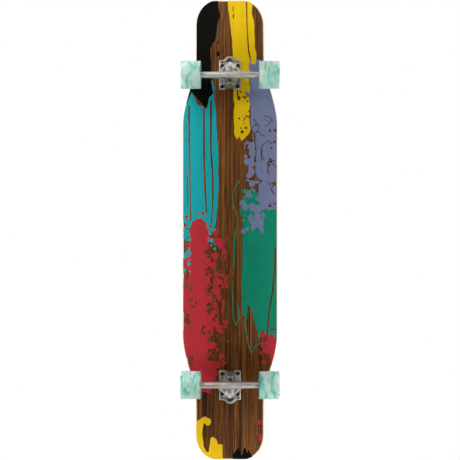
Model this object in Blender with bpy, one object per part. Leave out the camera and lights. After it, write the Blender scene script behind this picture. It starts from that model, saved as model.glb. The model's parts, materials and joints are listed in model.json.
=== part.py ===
"""Dance longboard: a long laminated deck on two reverse-kingpin trucks and four urethane wheels.

World frame: +X towards the nose, +Y to the rider's left, +Z up. The board stands on its wheels
with the origin on the ground, under the middle of the deck. Each truck is built in the frame of
its mounting pattern (X outward, Z up), and what steers in a frame on its steering axis.
"""
import math

import bmesh
import bpy
from mathutils import Matrix, Vector

MM = 0.001
GAP = 0.3 * MM                        # between pieces that touch

# Deck
DECK_HALF_LENGTH = 610 * MM
DECK_HALF_WIDTH = 125 * MM
NECK_HALF_WIDTH = 90 * MM
TIP_HALF_WIDTH = 34.5 * MM            # straight part of the end
TIP_ROUND_LENGTH = 70 * MM
WAIST_START = 150 * MM                # both measured from the end of the deck
WAIST_END = 335 * MM
DECK_THICKNESS = 12 * MM
DECK_EDGE_ROUND = 2.5 * MM
CONCAVE_RISE = 4 * MM                 # edges above the centre line, amidships
CONCAVE_FADE_START = 250 * MM
CONCAVE_FADE_END = 330 * MM
KICK_START = 462 * MM
KICK_RISE = 17.5 * MM

STEP_X = 36 * MM                      # grid on which the deck and its grip sheets bend
STEP_Y = 41 * MM

# Grip sheets, in plan. ACROSS is the distance from the left edge line, towards the right.
GRIP_THICKNESS = 0.8 * MM
GRIP_INSET = 2.6 * MM
SHEET_END_LEFT = 290 * MM             # where the nose sheet ends at the left edge
SHEET_END_RIGHT = 416 * MM
BAND_TOP_LEFT = 264 * MM
BAND_TOP_RIGHT = 373 * MM
BAND_BOTTOM_LEFT = 256 * MM
BAND_BOTTOM_RIGHT = 331 * MM
BAND_DIP = 8 * MM
SWEEP_POWER = 2.35
STRIP_WIDTH = 32 * MM
STRIP_ROUND = 20 * MM
STRIP_LONG_END = 281 * MM
STRIP_SHORT_END = 234 * MM

# Mounting pattern and hardware
TRUCK_X = 404.5 * MM
BOLT_SPACING_X = 53.975 * MM
BOLT_SPACING_Y = 41.275 * MM
OLD_SPACING_X = 63.5 * MM
BOLT_RADIUS = 2.4 * MM
BOLT_HOLE_RADIUS = 2.75 * MM
BOLT_HEAD_RADIUS = 4.6 * MM
BOLT_HEAD_DEPTH = 2.6 * MM
BOLT_END = 4 * MM                     # thread showing under the nut
SOCKET_RADIUS = 1.8 * MM
SOCKET_DEPTH = 2 * MM
NUT_FLATS = 9 * MM
NUT_HEIGHT = 5.5 * MM

# Truck, in the frame of its mounting pattern: X outward, Z up from the deck's underside
STEER_TILT = math.radians(30)         # of the steering axis to the deck
RING_CENTRE = Vector((4 * MM, 0, -30 * MM))
AXLE_CENTRE = Vector((-9.3 * MM, 0, -66 * MM))
PLATE_THICKNESS = 5 * MM
PLATE_HALF_WIDTH = 28.5 * MM
PLATE_INNER = -35.5 * MM
PLATE_NOTCH = -31 * MM                # floor of the notch between the two inboard ears
PLATE_NOTCH_HALF_WIDTH = 10.5 * MM
PLATE_SHOULDER = 41.5 * MM
PLATE_OUTER = 52.3 * MM
PLATE_NOSE = ((2 * MM, 14.5 * MM), (9 * MM, 9.5 * MM), (10.8 * MM, 4 * MM))   # past the shoulder, half-width
PLATE_ROUND = 2.2 * MM
NOSE_LIP_CENTRE = 36 * MM
NOSE_LIP_RADIUS = 15 * MM
NOSE_POCKET_RADIUS = 9 * MM
NOSE_POCKET_TOP = -3 * MM
NOSE_LIP_LOW = -10 * MM
SEAT_BLOCK_HALF_WIDTH = 15 * MM

# Truck, in the steering frame: X along the steering axis (outward), Z up the kingpin
KINGPIN_RADIUS = 4.76 * MM
KINGPIN_END = -31 * MM
KINGPIN_HEAD_FLATS = 13 * MM
KINGPIN_HEAD = (24.6 * MM, 28.6 * MM)
BUSHING_RADIUS = 13 * MM
SEAT_HEIGHT = 20 * MM
RING_HALF_THICKNESS = 4 * MM
WASHER_THICKNESS = 1.5 * MM
WASHER_RADIUS = 13.4 * MM
ROAD_WASHER_RADIUS = 10 * MM
ROAD_BUSHING_LENGTH = 13 * MM
KINGPIN_NUT_FLATS = 14.3 * MM
KINGPIN_NUT_HEIGHT = 8 * MM
RING_HOLE_RADIUS = 8 * MM
NUT_ROOM_RADIUS = 15.3 * MM            # keeps the leaning hanger off the washer and the nut
NUT_ROOM_TOP = -13 * MM
FLANGE_APEX = 31 * MM
FLANGE_APEX_ROUND = 10 * MM
FLANGE_HALF_WIDTH = 29 * MM
FLANGE_WALL = 4.4 * MM
FLANGE_ROOT = -15.5 * MM
WEB_FRONT = -14.2 * MM
PIVOT_RADIUS = 5.2 * MM
PIVOT_MOUTH = -24 * MM
PIVOT_TIP = -38.5 * MM
CUP_RADIUS = 8 * MM
CUP_FLOOR = 2 * MM
BARREL_RADIUS = 10.25 * MM
BARREL_END = -43.5 * MM

# The shoulders that fair the bar into the V flange: half their plan, from the bar's end inward
SHOULDER_PLAN = ((-27 * MM, 64 * MM), (-22 * MM, 62 * MM), (-19.5 * MM, 46 * MM), (-16 * MM, 35 * MM),
                 (-12 * MM, 27 * MM))
SHOULDER_LOW, SHOULDER_HIGH = -22 * MM, -14 * MM

# Hanger bar, axle, wheels
BAR_RADIUS = 9 * MM
BAR_END_RADIUS = 7.6 * MM
AXLE_RADIUS = 4 * MM
WHEEL_CENTRE_Y = 99.5 * MM
WHEEL_RADIUS = 35 * MM
WHEEL_WIDTH = 51 * MM
WHEEL_LIP_ROUND = 1.5 * MM
WHEEL_MOUTH_RADIUS = 16.5 * MM
BEARING_RADIUS = 11 * MM
BEARING_WIDTH = 7 * MM
BEARING_SPREAD = 10 * MM              # between the two bearings of a wheel
AXLE_NUT_FLATS = 12.7 * MM
AXLE_NUT_HEIGHT = 7 * MM
AXLE_STUB = 1.5 * MM                  # thread past the nut

# Worked out from the sizes above
UNDERSIDE_Z = WHEEL_RADIUS - AXLE_CENTRE.z
TOP_Z = UNDERSIDE_Z + DECK_THICKNESS
GRIP_Z = TOP_Z + GAP
STEER_FRAME = Matrix.Translation(RING_CENTRE) @ Matrix.Rotation(-STEER_TILT, 4, "Y")
AXLE_IN_STEER = STEER_FRAME.inverted() @ AXLE_CENTRE
BEARING_OUT = BEARING_SPREAD / 2 + BEARING_WIDTH
BAR_HALF_LENGTH = WHEEL_CENTRE_Y - BEARING_OUT - GAP
NUT_START = WHEEL_CENTRE_Y + BEARING_OUT + GAP
AXLE_HALF_LENGTH = NUT_START + AXLE_NUT_HEIGHT + AXLE_STUB


def clear_scene():
    for item in list(bpy.data.objects):
        bpy.data.objects.remove(item, do_unlink=True)


def material(name, colour, roughness, metallic=0.0):
    made = bpy.data.materials.new(name)
    made.use_nodes = True
    shader = made.node_tree.nodes["Principled BSDF"]
    shader.inputs["Base Color"].default_value = (*colour, 1)
    shader.inputs["Roughness"].default_value = roughness
    shader.inputs["Metallic"].default_value = metallic
    return made


def empty(name, location, rotation=(0, 0, 0), parent=None):
    made = bpy.data.objects.new(name, None)
    made.location = location
    made.rotation_euler = rotation
    made.parent = parent
    bpy.context.collection.objects.link(made)
    return made


def place(name, bm, look, parent=None, location=(0, 0, 0), smooth=True):
    """Makes the object of a bmesh whose faces form one closed body."""
    bmesh.ops.recalc_face_normals(bm, faces=bm.faces)
    mesh = bpy.data.meshes.new(name)
    bm.to_mesh(mesh)
    bm.free()
    if look is not None:
        mesh.materials.append(look)
    if smooth:
        mesh.shade_smooth()
        mesh.set_sharp_from_angle(angle=math.radians(35))
    made = bpy.data.objects.new(name, mesh)
    made.parent = parent
    made.location = location
    bpy.context.collection.objects.link(made)
    return made


def combine(target, operation, others):
    """Joins or cuts the target with the other objects, which are used up."""
    for other in others:
        step = target.modifiers.new(operation.lower(), "BOOLEAN")
        step.operation = operation
        step.object = other
    bpy.context.view_layer.update()
    result = bpy.data.meshes.new_from_object(target.evaluated_get(bpy.context.evaluated_depsgraph_get()))
    target.modifiers.clear()
    target.data = result
    for other in others:
        bpy.data.objects.remove(other, do_unlink=True)
    result.shade_smooth()
    result.set_sharp_from_angle(angle=math.radians(35))
    return target


def lathe(profile, segments=24, axis="Z", centre=(0, 0, 0)):
    """Turns a closed profile of (radius, height) points about an axis through the centre."""
    bm = bmesh.new()
    rings = []
    for radius, height in profile:
        if radius == 0:
            rings.append([bm.verts.new((0, 0, height))] * segments)
            continue
        ring = []
        for index in range(segments):
            turn = 2 * math.pi * index / segments
            ring.append(bm.verts.new((radius * math.cos(turn), radius * math.sin(turn), height)))
        rings.append(ring)
    for low, high in zip(rings, rings[1:] + rings[:1]):
        for index in range(segments):
            following = (index + 1) % segments
            corners = dict.fromkeys((low[index], low[following], high[following], high[index]))
            if len(corners) > 2:
                bm.faces.new(corners)
    turn = {"X": Matrix.Rotation(math.pi / 2, 4, "Y"), "Y": Matrix.Rotation(-math.pi / 2, 4, "X")}
    bm.transform(Matrix.Translation(centre) @ turn.get(axis, Matrix.Identity(4)))
    return bm


def rod(radius, low, high, segments=20, axis="Z", centre=(0, 0, 0), edge=0.0):
    profile = [(0, low), (radius - edge, low), (radius, low + edge),
               (radius, high - edge), (radius - edge, high), (0, high)]
    return lathe(list(dict.fromkeys(profile)), segments, axis, centre)


def tube(inner, outer, low, high, segments=24, axis="Z", centre=(0, 0, 0)):
    return lathe([(inner, low), (outer, low), (outer, high), (inner, high)], segments, axis, centre)


def prism(outline, low, high, axis="Z"):
    """Extrudes a flat outline. With axis Y the outline is given as (x, z)."""
    bm = bmesh.new()
    if axis == "Y":
        corners = [bm.verts.new((a, low, b)) for a, b in outline]
        travel = Vector((0, high - low, 0))
    else:
        corners = [bm.verts.new((a, b, low)) for a, b in outline]
        travel = Vector((0, 0, high - low))
    face = bm.faces.new(corners)
    grown = bmesh.ops.extrude_face_region(bm, geom=[face])
    moved = [item for item in grown["geom"] if isinstance(item, bmesh.types.BMVert)]
    bmesh.ops.translate(bm, verts=moved, vec=travel)
    return bm


def hexagon(flats):
    reach = flats / math.sqrt(3)
    return [(reach * math.cos(math.radians(60 * side)), reach * math.sin(math.radians(60 * side)))
            for side in range(6)]


def hex_nut(name, flats, bore, low, high, look, parent, location=(0, 0, 0), axis="Z"):
    """A hexagonal nut with a round bore."""
    nut = place(name, prism(hexagon(flats), low, high), look)
    combine(nut, "DIFFERENCE", [place("bore", rod(bore, low - MM, high + MM, 12), look)])
    if axis == "Y":
        nut.data.transform(Matrix.Rotation(-math.pi / 2, 4, "X"))
    nut.parent = parent
    nut.location = location
    return nut


# Deck ------------------------------------------------------------------------------------------

def smoothstep(value):
    value = min(1.0, max(0.0, value))
    return value * value * (3 - 2 * value)


def half_width(x):
    """Half the deck's width at a distance x from its middle."""
    from_end = DECK_HALF_LENGTH - abs(x)
    if from_end < TIP_ROUND_LENGTH:
        left = 1 - max(0.0, from_end) / TIP_ROUND_LENGTH
        return TIP_HALF_WIDTH + (NECK_HALF_WIDTH - TIP_HALF_WIDTH) * math.sqrt(1 - left * left)
    widening = smoothstep((from_end - WAIST_START) / (WAIST_END - WAIST_START))
    return NECK_HALF_WIDTH + (DECK_HALF_WIDTH - NECK_HALF_WIDTH) * widening


def deck_rise(x, y):
    """How far the bent deck stands above the flat plane between its trucks."""
    kick = max(0.0, (abs(x) - KICK_START) / (DECK_HALF_LENGTH - KICK_START))
    fade = 1 - smoothstep((abs(x) - CONCAVE_FADE_START) / (CONCAVE_FADE_END - CONCAVE_FADE_START))
    return KICK_RISE * kick * kick + CONCAVE_RISE * fade * (y / DECK_HALF_WIDTH) ** 2


def side_stations(start, end):
    """Places along the deck between start and end, closer together where its edge curves."""
    tip = DECK_HALF_LENGTH - TIP_ROUND_LENGTH
    corners = [tip + TIP_ROUND_LENGTH * math.sin(math.radians(11.25 * step)) for step in range(9)]
    waist = DECK_HALF_LENGTH - WAIST_START
    breadth = DECK_HALF_LENGTH - WAIST_END
    sides = [breadth + (waist - breadth) * step / 8 for step in range(9)]
    half = corners + sides + [0.5 * breadth]
    places = sorted(set([0.0] + half + [-place_x for place_x in half]))
    return [start] + [item for item in places if start + MM < item < end - MM] + [end]


def bent_sheet(name, outline, low, high, look, step_x, step_y, round_edge=0.0):
    """A plate of the given plan, from low to high, bent to the deck's surface."""
    bm = prism(outline, low, high)
    if round_edge:
        rim = [edge for edge in bm.edges if abs(edge.verts[0].co.z - edge.verts[1].co.z) < MM / 100]
        bmesh.ops.bevel(bm, geom=rim, offset=round_edge, segments=1, profile=0.5, affect="EDGES")
    for axis, step, limit in (((1, 0, 0), step_x, DECK_HALF_LENGTH), ((0, 1, 0), step_y, DECK_HALF_WIDTH)):
        for index in range(-int(limit / step), int(limit / step) + 1):
            cut = Vector(axis) * index * step
            everything = bm.verts[:] + bm.edges[:] + bm.faces[:]
            bmesh.ops.bisect_plane(bm, geom=everything, plane_co=cut, plane_no=axis, dist=MM / 50)
    bmesh.ops.triangulate(bm, faces=bm.faces[:])
    for vert in bm.verts:
        vert.co.z += deck_rise(vert.co.x, vert.co.y)
    return place(name, bm, look)


def bolt_places(rows=(-0.5, 0.5), spacing=BOLT_SPACING_X):
    return [(row * spacing, side * BOLT_SPACING_Y / 2) for row in rows for side in (-1, 1)]


def world_bolts():
    return [(end * TRUCK_X + along, across) for end in (1, -1) for along, across in bolt_places()]


def cut_bolt_holes(target, radius, head_radius=None):
    """Drills the eight bolt holes, countersunk from the top where a head radius is given."""
    low, top = UNDERSIDE_Z - MM, GRIP_Z + GRIP_THICKNESS
    profile = [(0, low), (radius, low), (radius, top + MM), (0, top + MM)]
    if head_radius:
        profile = [(0, low), (radius, low), (radius, top - BOLT_HEAD_DEPTH - GAP),
                   (head_radius, top - 0.6 * BOLT_HEAD_DEPTH), (head_radius, top + MM), (0, top + MM)]
    drills = [place("drill", lathe(profile, 12, centre=(x, y, 0)), None)
              for x, y in world_bolts() if within_plan(target, x, y)]
    return combine(target, "DIFFERENCE", drills)


def within_plan(target, x, y):
    """True where the point is inside the rectangle that bounds the target's plan."""
    along = [corner[0] for corner in target.bound_box]
    across = [corner[1] for corner in target.bound_box]
    return min(along) < x < max(along) and min(across) < y < max(across)


def make_deck(look):
    stations = side_stations(-DECK_HALF_LENGTH, DECK_HALF_LENGTH)
    outline = [(x, -half_width(x)) for x in stations]
    outline += [(x, half_width(x)) for x in reversed(stations)]
    deck = bent_sheet("deck", outline, UNDERSIDE_Z, TOP_Z, look, STEP_X, STEP_Y, DECK_EDGE_ROUND)
    return cut_bolt_holes(deck, BOLT_HOLE_RADIUS, BOLT_HEAD_RADIUS + GAP)


def sweep(left_x, right_x, dip=0.0):
    """A curve x(y) that leaves the left edge square to it and sweeps towards the nose."""
    def at(y):
        across = (DECK_HALF_WIDTH - y) / (2 * DECK_HALF_WIDTH)
        sag = dip * math.sin(math.pi * min(1, 1.5 * across))
        return left_x + (right_x - left_x) * across ** SWEEP_POWER - sag
    return at


def edge_y(x, side):
    return side * (half_width(x) - GRIP_INSET)


def meet(curve, side):
    """The x at which a sweep curve reaches the inset edge of the deck on one side."""
    x = curve(side * DECK_HALF_WIDTH)
    for _ in range(40):
        x = 0.5 * (x + curve(edge_y(x, side)))
    return x


def along_sweep(curve, steps=14):
    """Points on a sweep curve from the left edge to the right one."""
    left, right = edge_y(meet(curve, 1), 1), edge_y(meet(curve, -1), -1)
    ys = [left + (right - left) * step / steps for step in range(steps + 1)]
    return [(curve(y), y) for y in ys]


def along_edge(start, end, side):
    """Points on the inset edge of the deck strictly between two stations."""
    low, high = min(start, end), max(start, end)
    points = [(x, edge_y(x, side)) for x in side_stations(low, high)[1:-1]]
    return points if start < end else points[::-1]


def turned_about(outline, flip):
    return [(-x, -y) for x, y in outline] if flip else outline


def sheet_outline():
    """The sheet that covers the nose: round the tip, and along a sweep across the deck."""
    curve = sweep(SHEET_END_LEFT, SHEET_END_RIGHT)
    tip = DECK_HALF_LENGTH - GRIP_INSET
    right = along_edge(meet(curve, -1), tip, -1)
    left = along_edge(tip, meet(curve, 1), 1)
    return along_sweep(curve) + right + left


def band_outline():
    """The crescent between two sweeps, widest at the right edge."""
    upper = sweep(BAND_TOP_LEFT, BAND_TOP_RIGHT)
    lower = sweep(BAND_BOTTOM_LEFT, BAND_BOTTOM_RIGHT, BAND_DIP)
    right = along_edge(meet(lower, -1), meet(upper, -1), -1)
    left = along_edge(meet(upper, 1), meet(lower, 1), 1)
    return along_sweep(lower) + right + along_sweep(upper)[::-1] + left


def strip_outline():
    """The strip along the right edge, with its two inner corners rounded."""
    inner = -(DECK_HALF_WIDTH - GRIP_INSET - STRIP_WIDTH)
    points = [(x, edge_y(x, -1)) for x in side_stations(-STRIP_SHORT_END, STRIP_LONG_END)]
    for corner_x, side in ((STRIP_LONG_END, 1), (-STRIP_SHORT_END, -1)):
        centre_x = corner_x - side * STRIP_ROUND
        start = 0 if side > 0 else 90
        for step in range(7):
            turn = math.radians(start + 15 * step)
            points.append((centre_x + STRIP_ROUND * math.cos(turn),
                           inner - STRIP_ROUND + STRIP_ROUND * math.sin(turn)))
    return points


def make_grips(look):
    shapes = {"nose_grip_sheet": (sheet_outline(), False), "tail_grip_sheet": (sheet_outline(), True),
              "nose_grip_band": (band_outline(), False), "tail_grip_band": (band_outline(), True),
              "right_grip_strip": (strip_outline(), False), "left_grip_strip": (strip_outline(), True)}
    for name, (outline, flip) in shapes.items():
        made = bent_sheet(name, turned_about(outline, flip), GRIP_Z, GRIP_Z + GRIP_THICKNESS,
                          look, STEP_X, STEP_Y)
        if "sheet" in name:
            cut_bolt_holes(made, BOLT_HEAD_RADIUS + GAP)


def make_hardware(steel):
    """The countersunk truck bolts and their nuts."""
    plate_low = UNDERSIDE_Z - PLATE_THICKNESS - GAP
    top = GRIP_Z + GRIP_THICKNESS
    for index, (x, y) in enumerate(world_bolts()):
        end, number = ("front", index + 1) if x > 0 else ("rear", index - 3)
        low = plate_low - NUT_HEIGHT - BOLT_END
        shank_top = top - BOLT_HEAD_DEPTH
        profile = [(0, low), (BOLT_RADIUS, low), (BOLT_RADIUS, shank_top), (BOLT_HEAD_RADIUS, top),
                   (SOCKET_RADIUS, top), (SOCKET_RADIUS, top - SOCKET_DEPTH), (0, top - SOCKET_DEPTH)]
        bolt = lathe([(radius, height - low) for radius, height in profile], 12)
        place(f"{end}_truck_bolt_{number}", bolt, steel, location=(x, y, low))
        hex_nut(f"{end}_truck_nut_{number}", NUT_FLATS, BOLT_RADIUS + GAP, -NUT_HEIGHT - GAP, -GAP, steel,
                None, (x, y, plate_low))


# Trucks ----------------------------------------------------------------------------------------

def plate_outline():
    """The baseplate in plan, with ears inboard and a domed nose outboard."""
    notch = PLATE_NOTCH_HALF_WIDTH
    half = [(PLATE_NOTCH, notch), (PLATE_INNER, notch + 1.5 * MM), (PLATE_INNER, PLATE_HALF_WIDTH),
            (PLATE_SHOULDER, PLATE_HALF_WIDTH)]
    half += [(PLATE_SHOULDER + past, width) for past, width in PLATE_NOSE]
    return half + [(x, -y) for x, y in reversed(half)]


def steer_point(x, z):
    """A point given in the steering frame, as (x, z) in the truck's frame."""
    moved = STEER_FRAME @ Vector((x, 0, z))
    return moved.x, moved.z


def in_truck(bm):
    bm.transform(STEER_FRAME)
    return bm


def nose_lip(top):
    """The raised crescent round the baseplate's nose."""
    turns = [math.radians(15 * step) for step in range(-5, 6)]
    rim = [(NOSE_LIP_CENTRE + NOSE_LIP_RADIUS * math.cos(turn), NOSE_LIP_RADIUS * math.sin(turn))
           for turn in turns]
    pocket = [(NOSE_LIP_CENTRE + NOSE_POCKET_RADIUS * math.cos(turn), NOSE_POCKET_RADIUS * math.sin(turn))
              for turn in reversed(turns)]
    return prism(rim + pocket, NOSE_LIP_LOW, top)


def make_baseplate(name, look, truck):
    plate = prism(plate_outline(), -PLATE_THICKNESS - GAP, -GAP)
    upright = [edge for edge in plate.edges if abs(edge.verts[0].co.z - edge.verts[1].co.z) > MM]
    bmesh.ops.bevel(plate, geom=upright, offset=PLATE_ROUND, segments=3, profile=0.5, affect="EDGES")
    base = place(name, plate, look)

    inside = -GAP - MM
    seat = [(-26 * MM, inside), (12 * MM, inside), steer_point(15 * MM, SEAT_HEIGHT - 3 * MM),
            steer_point(-15 * MM, SEAT_HEIGHT - 3 * MM), (-24 * MM, -14 * MM)]
    tower = [(PLATE_NOTCH + MM, inside), (-19 * MM, inside), steer_point(-18.5 * MM, 20 * MM),
             steer_point(PIVOT_MOUTH - 0.5 * MM, 9.5 * MM), steer_point(PIVOT_MOUTH - 0.5 * MM, 0),
             steer_point(BARREL_END + MM, 0), steer_point(BARREL_END + MM, 9.5 * MM), (-38 * MM, -24 * MM)]
    rib = [(10 * MM, inside), (28 * MM, inside), (28 * MM, -7.5 * MM), (12 * MM, -7.5 * MM)]
    barrel = rod(BARREL_RADIUS, BARREL_END, PIVOT_MOUTH, 20, "X", edge=0.8 * MM)
    combine(base, "UNION", [
        place("seat", prism(seat, -SEAT_BLOCK_HALF_WIDTH, SEAT_BLOCK_HALF_WIDTH, "Y"), look),
        place("tower", prism(tower, -8.5 * MM, 8.5 * MM, "Y"), look),
        place("rib", prism(rib, -4 * MM, 4 * MM, "Y"), look),
        place("nose_lip", nose_lip(inside), look),
        place("barrel", in_truck(barrel), look)])

    seat_room = rod(WASHER_RADIUS + 0.8 * MM, -4 * MM, SEAT_HEIGHT, 24)
    kingpin_bore = rod(KINGPIN_RADIUS + GAP, 0, 40 * MM, 20)
    head_room = rod(KINGPIN_HEAD_FLATS / math.sqrt(3) + GAP, KINGPIN_HEAD[0] - GAP, 50 * MM, 16)
    socket = rod(CUP_RADIUS + GAP, PIVOT_TIP - CUP_FLOOR - 2 * GAP, 0, 20, "X")
    rooms = [place("room", in_truck(bm), look) for bm in (seat_room, kingpin_bore, head_room, socket)]
    pocket = rod(NOSE_POCKET_RADIUS - GAP, -20 * MM, NOSE_POCKET_TOP, 20, centre=(NOSE_LIP_CENTRE, 0, 0))
    rooms.append(place("pocket", pocket, look))
    holes = bolt_places() + bolt_places((OLD_SPACING_X / BOLT_SPACING_X - 0.5,))
    drills = [place("drill", rod(BOLT_HOLE_RADIUS, -8 * MM, MM, 12, centre=(x, y, 0)), look)
              for x, y in holes]
    combine(base, "DIFFERENCE", rooms + drills)
    base.parent = truck
    return base


def make_kingpin(name, look, steer):
    low, high = KINGPIN_HEAD
    pin = place(name, rod(KINGPIN_RADIUS, KINGPIN_END, 0.5 * (low + high), 20, edge=0.8 * MM), look)
    combine(pin, "UNION", [place("head", prism(hexagon(KINGPIN_HEAD_FLATS), low, high), look)])
    pin.parent = steer
    return pin


def make_bushing_stack(end, urethane, steel, steer):
    """What sits on the kingpin, from the seat down: washer, bushing, ring, bushing, washer, nut."""
    washer_low = SEAT_HEIGHT - GAP - WASHER_THICKNESS
    bore = KINGPIN_RADIUS + GAP
    place(f"{end}_board_washer", tube(bore, WASHER_RADIUS, washer_low, SEAT_HEIGHT - GAP),
          steel, steer)
    low, high = RING_HALF_THICKNESS + GAP, washer_low - GAP
    middle = 0.5 * (low + high)
    barrel = [(bore, low), (BUSHING_RADIUS - 1.2 * MM, low), (BUSHING_RADIUS - 0.2 * MM, low + 1.2 * MM),
              (BUSHING_RADIUS, middle), (BUSHING_RADIUS - 0.2 * MM, high - 1.2 * MM),
              (BUSHING_RADIUS - 1.2 * MM, high), (bore, high)]
    place(f"{end}_board_bushing", lathe(barrel, 20), urethane, steer)

    high = -RING_HALF_THICKNESS - GAP
    low = high - ROAD_BUSHING_LENGTH
    cone = [(bore, low), (BUSHING_RADIUS - 4 * MM, low), (BUSHING_RADIUS - 3 * MM, low + 1.2 * MM),
            (BUSHING_RADIUS, high - 3 * MM), (BUSHING_RADIUS - 0.8 * MM, high), (bore, high)]
    place(f"{end}_road_bushing", lathe(cone, 20), urethane, steer)
    washer_high = low - GAP
    washer_low = washer_high - WASHER_THICKNESS
    place(f"{end}_road_washer", tube(bore, ROAD_WASHER_RADIUS, washer_low, washer_high),
          steel, steer)
    nut_high = washer_low - GAP
    nut_low = nut_high - KINGPIN_NUT_HEIGHT
    hex_nut(f"{end}_kingpin_nut", KINGPIN_NUT_FLATS, bore, nut_low, nut_high, steel, steer)


def flange_path(steps=4):
    """The outer edge of the V flange in plan, from the left root round the apex to the right."""
    centre_x = FLANGE_APEX - FLANGE_APEX_ROUND
    run = centre_x - FLANGE_ROOT
    reach = math.hypot(run, FLANGE_HALF_WIDTH)
    slope = math.atan2(FLANGE_HALF_WIDTH, run) - math.asin(FLANGE_APEX_ROUND / reach)
    first = math.pi / 2 - slope
    arc = [first * (1 - step / steps) for step in range(2 * steps + 1)]
    points = [(FLANGE_ROOT, FLANGE_HALF_WIDTH)]
    points += [(centre_x + FLANGE_APEX_ROUND * math.cos(turn), FLANGE_APEX_ROUND * math.sin(turn))
               for turn in arc]
    return points + [(FLANGE_ROOT, -FLANGE_HALF_WIDTH)]


def flange_wall():
    """The raised lip along the V: tall at the axle, low at the apex."""
    outer = flange_path()
    bm = bmesh.new()
    rings = []
    for index, (x, y) in enumerate(outer):
        before = Vector(outer[max(0, index - 1)])
        after = Vector(outer[min(len(outer) - 1, index + 1)])
        along = (after - before).normalized()
        inward = Vector((along.y, -along.x)) * FLANGE_WALL
        share = (x - FLANGE_ROOT) / (FLANGE_APEX - FLANGE_ROOT)
        low = -RING_HALF_THICKNESS - 3 * MM - 15 * MM * (1 - share)
        corners = ((x, y, RING_HALF_THICKNESS), (x, y, low),
                   (x + inward.x, y + inward.y, low), (x + inward.x, y + inward.y, RING_HALF_THICKNESS))
        rings.append([bm.verts.new(corner) for corner in corners])
    for first, second in zip(rings, rings[1:]):
        for side in range(4):
            following = (side + 1) % 4
            bm.faces.new((first[side], first[following], second[following], second[side]))
    bm.faces.new(rings[0])
    bm.faces.new(rings[-1][::-1])
    return bm


def make_hanger(name, look, steer):
    """The cast hanger: ring plate with its V flange, web, shoulders, pivot pin and axle bar."""
    ring_face = RING_HALF_THICKNESS - 0.1 * MM
    hanger = place(name, prism(flange_path(), -ring_face, ring_face), look)
    axle_x, axle_z = AXLE_IN_STEER.x, AXLE_IN_STEER.z
    bar_side = [(0, -BAR_HALF_LENGTH), (BAR_END_RADIUS, -BAR_HALF_LENGTH), (BAR_RADIUS, -35 * MM),
                (BAR_RADIUS, 35 * MM), (BAR_END_RADIUS, BAR_HALF_LENGTH), (0, BAR_HALF_LENGTH)]
    bar = lathe(bar_side, 20, "Y", (axle_x, 0, axle_z))
    web = [(WEB_FRONT, RING_HALF_THICKNESS), (WEB_FRONT, axle_z + 2 * MM), (axle_x + 3 * MM, axle_z - 3 * MM),
           (PIVOT_MOUTH + 0.8 * MM, axle_z + 6 * MM), (PIVOT_MOUTH + 0.8 * MM, RING_HALF_THICKNESS)]
    pin_side = [(0, PIVOT_TIP), (PIVOT_RADIUS * 0.6, PIVOT_TIP + 0.8 * MM),
                (PIVOT_RADIUS, PIVOT_TIP + 3 * MM), (PIVOT_RADIUS, PIVOT_MOUTH + 2 * MM),
                (PIVOT_RADIUS + MM, WEB_FRONT - 2 * MM), (0, WEB_FRONT - 2 * MM)]
    shoulders = list(SHOULDER_PLAN) + [(x, -y) for x, y in reversed(SHOULDER_PLAN)]
    combine(hanger, "UNION", [
        place("wall", flange_wall(), look),
        place("shoulders", prism(shoulders, SHOULDER_LOW, SHOULDER_HIGH), look),
        place("web", prism(web, -19 * MM, 19 * MM, "Y"), look),
        place("bar", bar, look),
        place("pin", lathe(pin_side, 20, "X"), look)])
    bushing_room = rod(BUSHING_RADIUS + 0.8 * MM, -60 * MM, -RING_HALF_THICKNESS - 0.05 * MM, 24)
    nut_room = rod(NUT_ROOM_RADIUS, -60 * MM, NUT_ROOM_TOP, 24)
    ring_hole = rod(RING_HOLE_RADIUS, -20 * MM, 20 * MM, 32)
    axle_bore = rod(AXLE_RADIUS + GAP, -0.2, 0.2, 20, "Y", (axle_x, 0, axle_z))
    combine(hanger, "DIFFERENCE", [place("room", bm, look)
                                   for bm in (bushing_room, nut_room, ring_hole, axle_bore)])
    hanger.parent = steer
    return hanger


def make_pivot_cup(name, look, steer):
    mouth, bore_end = PIVOT_MOUTH - 0.4 * MM, PIVOT_TIP - GAP
    floor = bore_end - CUP_FLOOR
    inner = PIVOT_RADIUS + GAP
    profile = [(0, floor), (CUP_RADIUS, floor), (CUP_RADIUS, mouth), (inner, mouth),
               (inner, bore_end), (0, bore_end)]
    place(name, lathe(profile, 20, "X"), look, steer)


def make_wheel(name, look, spin):
    """The urethane tyre, with a bearing seat in each face and rounded lips."""
    half = WHEEL_WIDTH / 2
    seat_radius = BEARING_RADIUS + GAP
    flank = WHEEL_RADIUS - WHEEL_LIP_ROUND

    def lip(side, turns):
        centre = side * (half - WHEEL_LIP_ROUND)
        arcs = [math.radians(turn) for turn in turns]
        return [(flank + WHEEL_LIP_ROUND * math.cos(arc), centre + side * WHEEL_LIP_ROUND * math.sin(arc))
                for arc in arcs]

    mouth_depth = half - 3.5 * MM
    profile = [(WHEEL_MOUTH_RADIUS, -mouth_depth), (WHEEL_MOUTH_RADIUS + 5 * MM, -half + 1.2 * MM)]
    profile += lip(-1, (90, 45, 0)) + lip(1, (0, 45, 90))
    profile += [(WHEEL_MOUTH_RADIUS + 5 * MM, half - 1.2 * MM), (WHEEL_MOUTH_RADIUS, mouth_depth)]
    seat = [(seat_radius, BEARING_OUT), (seat_radius, BEARING_SPREAD / 2 - GAP),
            (seat_radius - 3 * MM, BEARING_SPREAD / 2 - GAP)]
    profile += seat + [(radius, -height) for radius, height in reversed(seat)]
    place(name, lathe(profile, 24, "Y"), look, spin)


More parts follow.
